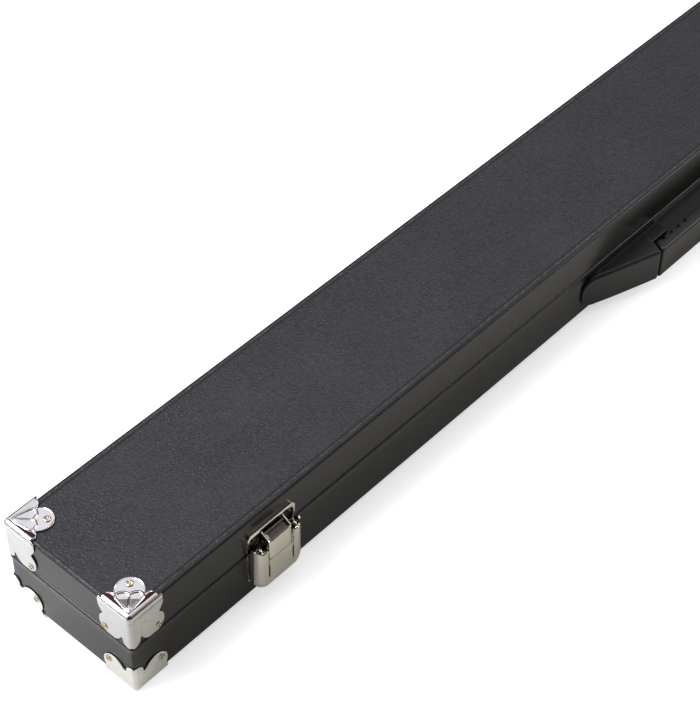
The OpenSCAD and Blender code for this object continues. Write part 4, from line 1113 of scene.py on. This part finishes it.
def claw_shell(side, place_x, body):
    """The claw: an open box with rounded front corners and a shallow tray inside its top.

    Its upper edge rises from the front to the back, and the lower edge of each cheek
    falls from the back to the parting. The tray's depth is the fourth-power curve
    sqrt(1 - s^4) of the place s between its front and back, and it curls up at its sides.
    """
    def top_edge(n):
        return front_top + claw_rise * (lever_out - n) / (lever_out - claw_back)

    bend = lever_out - claw_corner
    cheek = [(claw_half, claw_back + (bend - claw_back) * k) for k in np.linspace(0, 1, 11)[:-1]]
    cheek += [(claw_half - claw_corner + claw_corner * np.cos(t), bend + claw_corner * np.sin(t))
              for t in np.linspace(0, np.pi / 2, 7)]
    section = np.array([(-x, n) for x, n in cheek] + [(x, lever_out) for x in np.linspace(-4, 4, 7) * mm]
                       + cheek[::-1])
    x, n = section[:, 0][None, :], section[:, 1][None, :]
    slope = (parting - back_low) * (n - claw_back) / (claw_pivot_n - claw_back)
    low = np.where(n > claw_pivot_n, parting, back_low + slope)
    z = low + (top_edge(n) - low) * np.linspace(0, 1, 16)[:, None]
    points = np.stack([x + 0 * z, n + 0 * z, z], -1)
    keep = np.ones((points.shape[0] - 1, points.shape[1] - 1), bool)
    pressed_sheet(side + "_claw", points, keep, body, place_x, lever_t, side + "_latch_claw")
    tray_n = np.linspace(tray_back, lever_out - tray_gap, 18)[:, None]
    tray_x = np.linspace(-claw_half + tray_gap, claw_half - tray_gap, 25)[None, :]
    share = (tray_n - tray_back) / (lever_out - tray_gap - tray_back)
    depth = tray_rim + tray_deep * np.sqrt(np.clip(1 - (2 * share - 1) ** 4, 0, 1))
    side_lift = np.clip((np.abs(tray_x) - claw_half + tray_side) / tray_curl, 0, 1) ** 2
    z = top_edge(tray_n) - depth * (1 - 0.75 * side_lift)
    tray = np.stack([tray_x + 0 * z, tray_n + 0 * z, z], -1)
    ob = pressed_sheet(side + "_claw_tray", tray, np.ones((17, 24), bool), body, place_x, tray_t)
    # The tray is all in the dark copy of the latch metal, as painted shade
    ob.data.materials[0] = latch_shade
    front = [(cheek_n, parting), (cheek_n, 0), (claw_pivot_n, 0)]
    arm = circle_points(claw_pivot_n, claw_pivot_z, claw_arm_r) + front
    bridge = [(claw_pivot_n, parting)] + front
    shapes = [(side + "_claw_arm_", arm, arm_span), (side + "_claw_bridge_", bridge, bridge_span)]
    blade_pairs(shapes, body, place_x, latch_nickel)


strike_half, strike_h, strike_rim_w = 15.5 * mm, 12.4 * mm, 1 * mm
strike_rim_n, strike_floor_n = 1.3 * mm, 0.4 * mm


def darken_hollow(ob, place_x):
    """Gives the strike's faces that lie inside its raised rim the dark copy of the latch metal, as painted
    shade.
    """
    ob.data.materials.append(latch_shade)
    for face in ob.data.polygons:
        across, n, z = face.center.x - place_x, front_y - face.center.y, face.center.z - seam_z
        in_rim = abs(across) < strike_half - strike_rim_w and z < strike_h - strike_rim_w
        if in_rim and strike_floor_n < n < strike_rim_n:
            face.material_index = 1


stud_r, stud_span = 1.2 * mm, (10.6 * mm, 13.6 * mm)
stud_head_r, stud_head_span = 1.68 * mm, (10.3 * mm, 10.9 * mm)


def stud_pair(side, place_x, body):
    """The lever's two studs: short headed pins about the pivot that end inside its sides."""
    stud = circle_points(pivot_n, pivot_z, stud_r, 32)
    head = circle_points(pivot_n, pivot_z, stud_head_r, 32)
    shapes = [(side + "_stud_", stud, stud_span), (side + "_stud_head_", head, stud_head_span)]
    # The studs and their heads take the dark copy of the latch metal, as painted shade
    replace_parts(blade_pairs(shapes, body, place_x, latch_shade), side + "_latch_studs")


for side, place_x in (("left", -latch_x), ("right", latch_x)):
    for part in ("strike", "plate"):
        ob = rounded_copy(side + "_" + part, latch_nickel, side + "_latch_" + part)
        if part == "strike":
            darken_hollow(ob, place_x)
    stud_pair(side, place_x, nodes[side + "_latch_studs"]["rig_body"])
    lever_shell(side, place_x, nodes[side + "_latch_lever"]["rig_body"])
    claw_shell(side, place_x, nodes[side + "_latch_claw"]["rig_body"])
    # The claw's pin takes the dark copy of the latch metal, as painted shade
    paint(latch_shade, side + "_latch_claw_pin")
paint(rivet_steel_and_shade, "latch_strike_rivets", "latch_plate_rivets")

# Handle
# Injection-moulded satin black plastic: two mounts screwed to the front wall and a
# grip that pulls out on two steel posts.
plastic, tree, shader = new_material("handle_plastic", Base_Color=grey(0.012), Roughness=0.33)
fine = noise(tree, texture_place(tree), 2500, 2)
bump(tree, shader, fine, 0.25, 0.05 * mm)
steel = plated("drawn_steel", 0.6, (1, 1, 1.01), 0.3, 0.05 * mm)

# Names in out, in and back are distances outward from the front wall, and the others along the
# handle are from its middle, where the grip is; each mount's tongue runs on behind the grip
handle_z, handle_half, nose_r = box_z + 15 * mm, 10.4 * mm, 9.57 * mm
handle_tip, grip_half, joint_gap = 106.3 * mm, 57.6 * mm, 0.9 * mm
handle_out, grip_in, tongue_out = 16.8 * mm, 10 * mm, 8.4 * mm
joint_lean, lean_reach, tongue_end, front_fold = 2.58 * mm, 6 * mm, 41.92 * mm, 2.1 * mm
nose_out, brow_at, brow_out = 0.9 * mm, 15.1 * mm, 6.2 * mm
end_r, tongue_r, tongue_edge, back_edge, grip_edge = 1.4 * mm, 0.8 * mm, 0.5 * mm, 0.3 * mm, 0.7 * mm
notch_places = (49.9 * mm, 43.6 * mm, 37.2 * mm, 30.9 * mm)
notch_w, notch_h, notch_side = 3.2 * mm, 2 * mm, 0.02 * mm
line_place, line_w, line_h, line_side = 20.7 * mm, 0.12 * mm, 0.12 * mm, 0.08 * mm


def bar_ring(half, back, out, front_r, back_r, notch=None, draw_in=0.0):
    """A rounded rectangle in (z, outward), as 30 points from the lower back corner.

    Each corner is a quarter circle. With a notch, the upper back corner is cut square by
    that depth. The part in front of the tongue is drawn in by draw_in.
    """
    quarter = np.radians(np.linspace(0, 90, 7))
    step_n = tongue_out if back < tongue_out < out - front_r else (back + out) / 2
    points = []
    for z_sign, n, r, turn in ((-1, back, back_r, 180), (-1, out, front_r, 90), (1, out, front_r, 0),
                               (1, back, back_r, -90)):
        middle_z, middle_n = z_sign * (half - r), n + (r if n == back else -r)
        a = quarter[::-1] + np.radians(turn)
        if n == back and z_sign > 0:
            points.append((half, step_n))
        points += [(middle_z + r * np.cos(t), middle_n + r * np.sin(t)) for t in a]
        if n == back and z_sign < 0:
            points.append((-half, step_n))
    if notch is not None:
        points[-7:] = ([(half, back + notch)] * 2 + [(half - notch, back + notch)] * 3
                       + [(half - notch, back)] * 2)
    if not draw_in:
        return points
    return [(z * (1 - draw_in / half), n - draw_in * (n > out - front_r)) if n > tongue_out else (z, n)
            for z, n in points]


def bar_shell(rings):
    """Points and faces of a closed bar through rings of (x, lean, points).

    A point stands at x plus lean times its distance behind the outermost face.
    """
    points = np.array([[(x + lean * (handle_out - n), n, z) for z, n in ring] for x, lean, ring in rings])
    rows, columns = points.shape[:2]
    faces = grid_faces(rows, columns, wrap=True).tolist()
    faces.append(list(range(columns))[::-1])
    faces.append([(rows - 1) * columns + k for k in range(columns)])
    return points.reshape(-1, 3), faces


def moulded_piece(name, node, shell, mirror=1):
    """One moulded part from a closed bar given as (x, outward, height) about the handle's middle."""
    points, faces = shell
    place = np.column_stack([mirror * points[:, 0], front_y - points[:, 1], handle_z + points[:, 2]])
    ob = mesh_piece(name, place, faces, plastic, nodes[node]["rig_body"], node)
    bm = bmesh.new()
    bm.from_mesh(ob.data)
    bmesh.ops.remove_doubles(bm, verts=bm.verts, dist=0.01 * mm)
    bmesh.ops.recalc_face_normals(bm, faces=bm.faces)
    mark_creases(bm)
    bm.to_mesh(ob.data)
    bm.free()
    even = ob.modifiers.new("flat_faces", "WEIGHTED_NORMAL")
    even.keep_sharp = True


def mount_shell():
    """The left mount: a wedge that rises from a round nose to the joint, then its tongue.

    The half height follows a circle at the nose. The outward reach goes in two straight
    slopes, a steep one to the brow and a flat one to the joint, where the face leans over.
    """
    joint, lean = grip_half + joint_gap, joint_lean / (handle_out - tongue_out)
    length = handle_tip - joint
    round_nose = np.array([0, 0.12, 0.4, 0.9, 1.6, 2.6, 3.8, 5.3, 7.2, 9.57]) * mm
    before_joint = np.array([6, 4, 2.6, 1.9, 1.3, 0.8, 0.4, 0.12, 0]) * mm
    slopes = np.linspace(11 * mm, length - 7 * mm, 12)
    rings = []
    for t in np.concatenate([round_nose, slopes, length - before_joint]):
        out = np.interp(t, (0, brow_at, length), (nose_out, brow_out, handle_out))
        half = handle_half - nose_r + np.sqrt(nose_r ** 2 - max(nose_r - t, 0) ** 2)
        front_r = front_fold * (1 + 0.5 * np.clip(1 - t / (20 * mm), 0, 1))
        share = np.clip(1 - (length - t) / lean_reach, 0, 1)
        ring = bar_ring(half, 0, out, min(front_r, 0.6 * out, 0.9 * half), min(back_edge, 0.3 * out),
                        draw_in=rounded_drop(length - t, end_r))
        rings.append((-handle_tip + t, lean * share, ring))
    rings.append((-joint, lean, bar_ring(handle_half, 0, tongue_out, tongue_edge, back_edge)))
    for gap in np.array([9, 0.8, 0.5, 0.25, 0.08, 0]) * mm:
        inset = rounded_drop(gap, tongue_r)
        rings.append((-tongue_end - gap, 0,
                      bar_ring(handle_half - inset, 0, tongue_out - inset, tongue_edge, back_edge)))
    return bar_shell(rings)


def grip_shell():
    """The grip: a long bar with leaning ends, four notches by each end and a fine mould line.

    Each station along it is its distance from the middle, the depth of its notch or None,
    and how far the mould line draws it in.
    """
    lean = joint_lean / (handle_out - grip_in)
    stations = [(t * mm - grip_half, None, 0) for t in (0, 0.12, 0.4, 0.8, 1.3, 1.9, 2.6, 4)]
    cuts = [(place, notch_w, notch_side, notch_h, 0) for place in notch_places]
    cuts.append((line_place, line_w, line_side, None, line_h))
    for place, width, side, notch, drawn in cuts:
        low, high = -place - width / 2, -place + width / 2
        stations += [(low - side, None, 0), (low, notch, drawn), (high, notch, drawn), (high + side, None, 0)]
    stations += [(-x, notch, drawn) for x, notch, drawn in stations[::-1]]
    rings = []
    for x, notch, drawn in stations:
        gap = grip_half - abs(x)
        draw_in = rounded_drop(gap, end_r) + drawn
        share = np.clip(1 - gap / lean_reach, 0, 1) * -np.sign(x)
        ring = bar_ring(handle_half - draw_in, grip_in + draw_in, handle_out - draw_in, front_fold,
                        grip_edge, notch)
        rings.append((x, lean * share, ring))
    return bar_shell(rings)


for side, mirror in (("left", 1), ("right", -1)):
    moulded_piece(side + "_handle_mount_moulded", side + "_handle_mount", mount_shell(), mirror)
moulded_piece("handle_grip_moulded", "handle_grip", grip_shell())
paint(steel, "left_handle_post", "right_handle_post", "handle_screws")

# Hinges
# Three nickelled butt hinges at the back, each riveted through both halves' walls.
for side in ("left", "middle", "right"):
    for half in ("base", "lid"):
        ob = rounded_copy(side + "_" + half + "_leaf", nickel, side + "_hinge_" + half + "_leaf")
    paint(steel, side + "_hinge_pin")
paint(rivet_steel_and_shade, "hinge_base_rivets", "hinge_lid_rivets")

# View
# Colours show as they are written.
scene.view_settings.view_transform = "Standard"
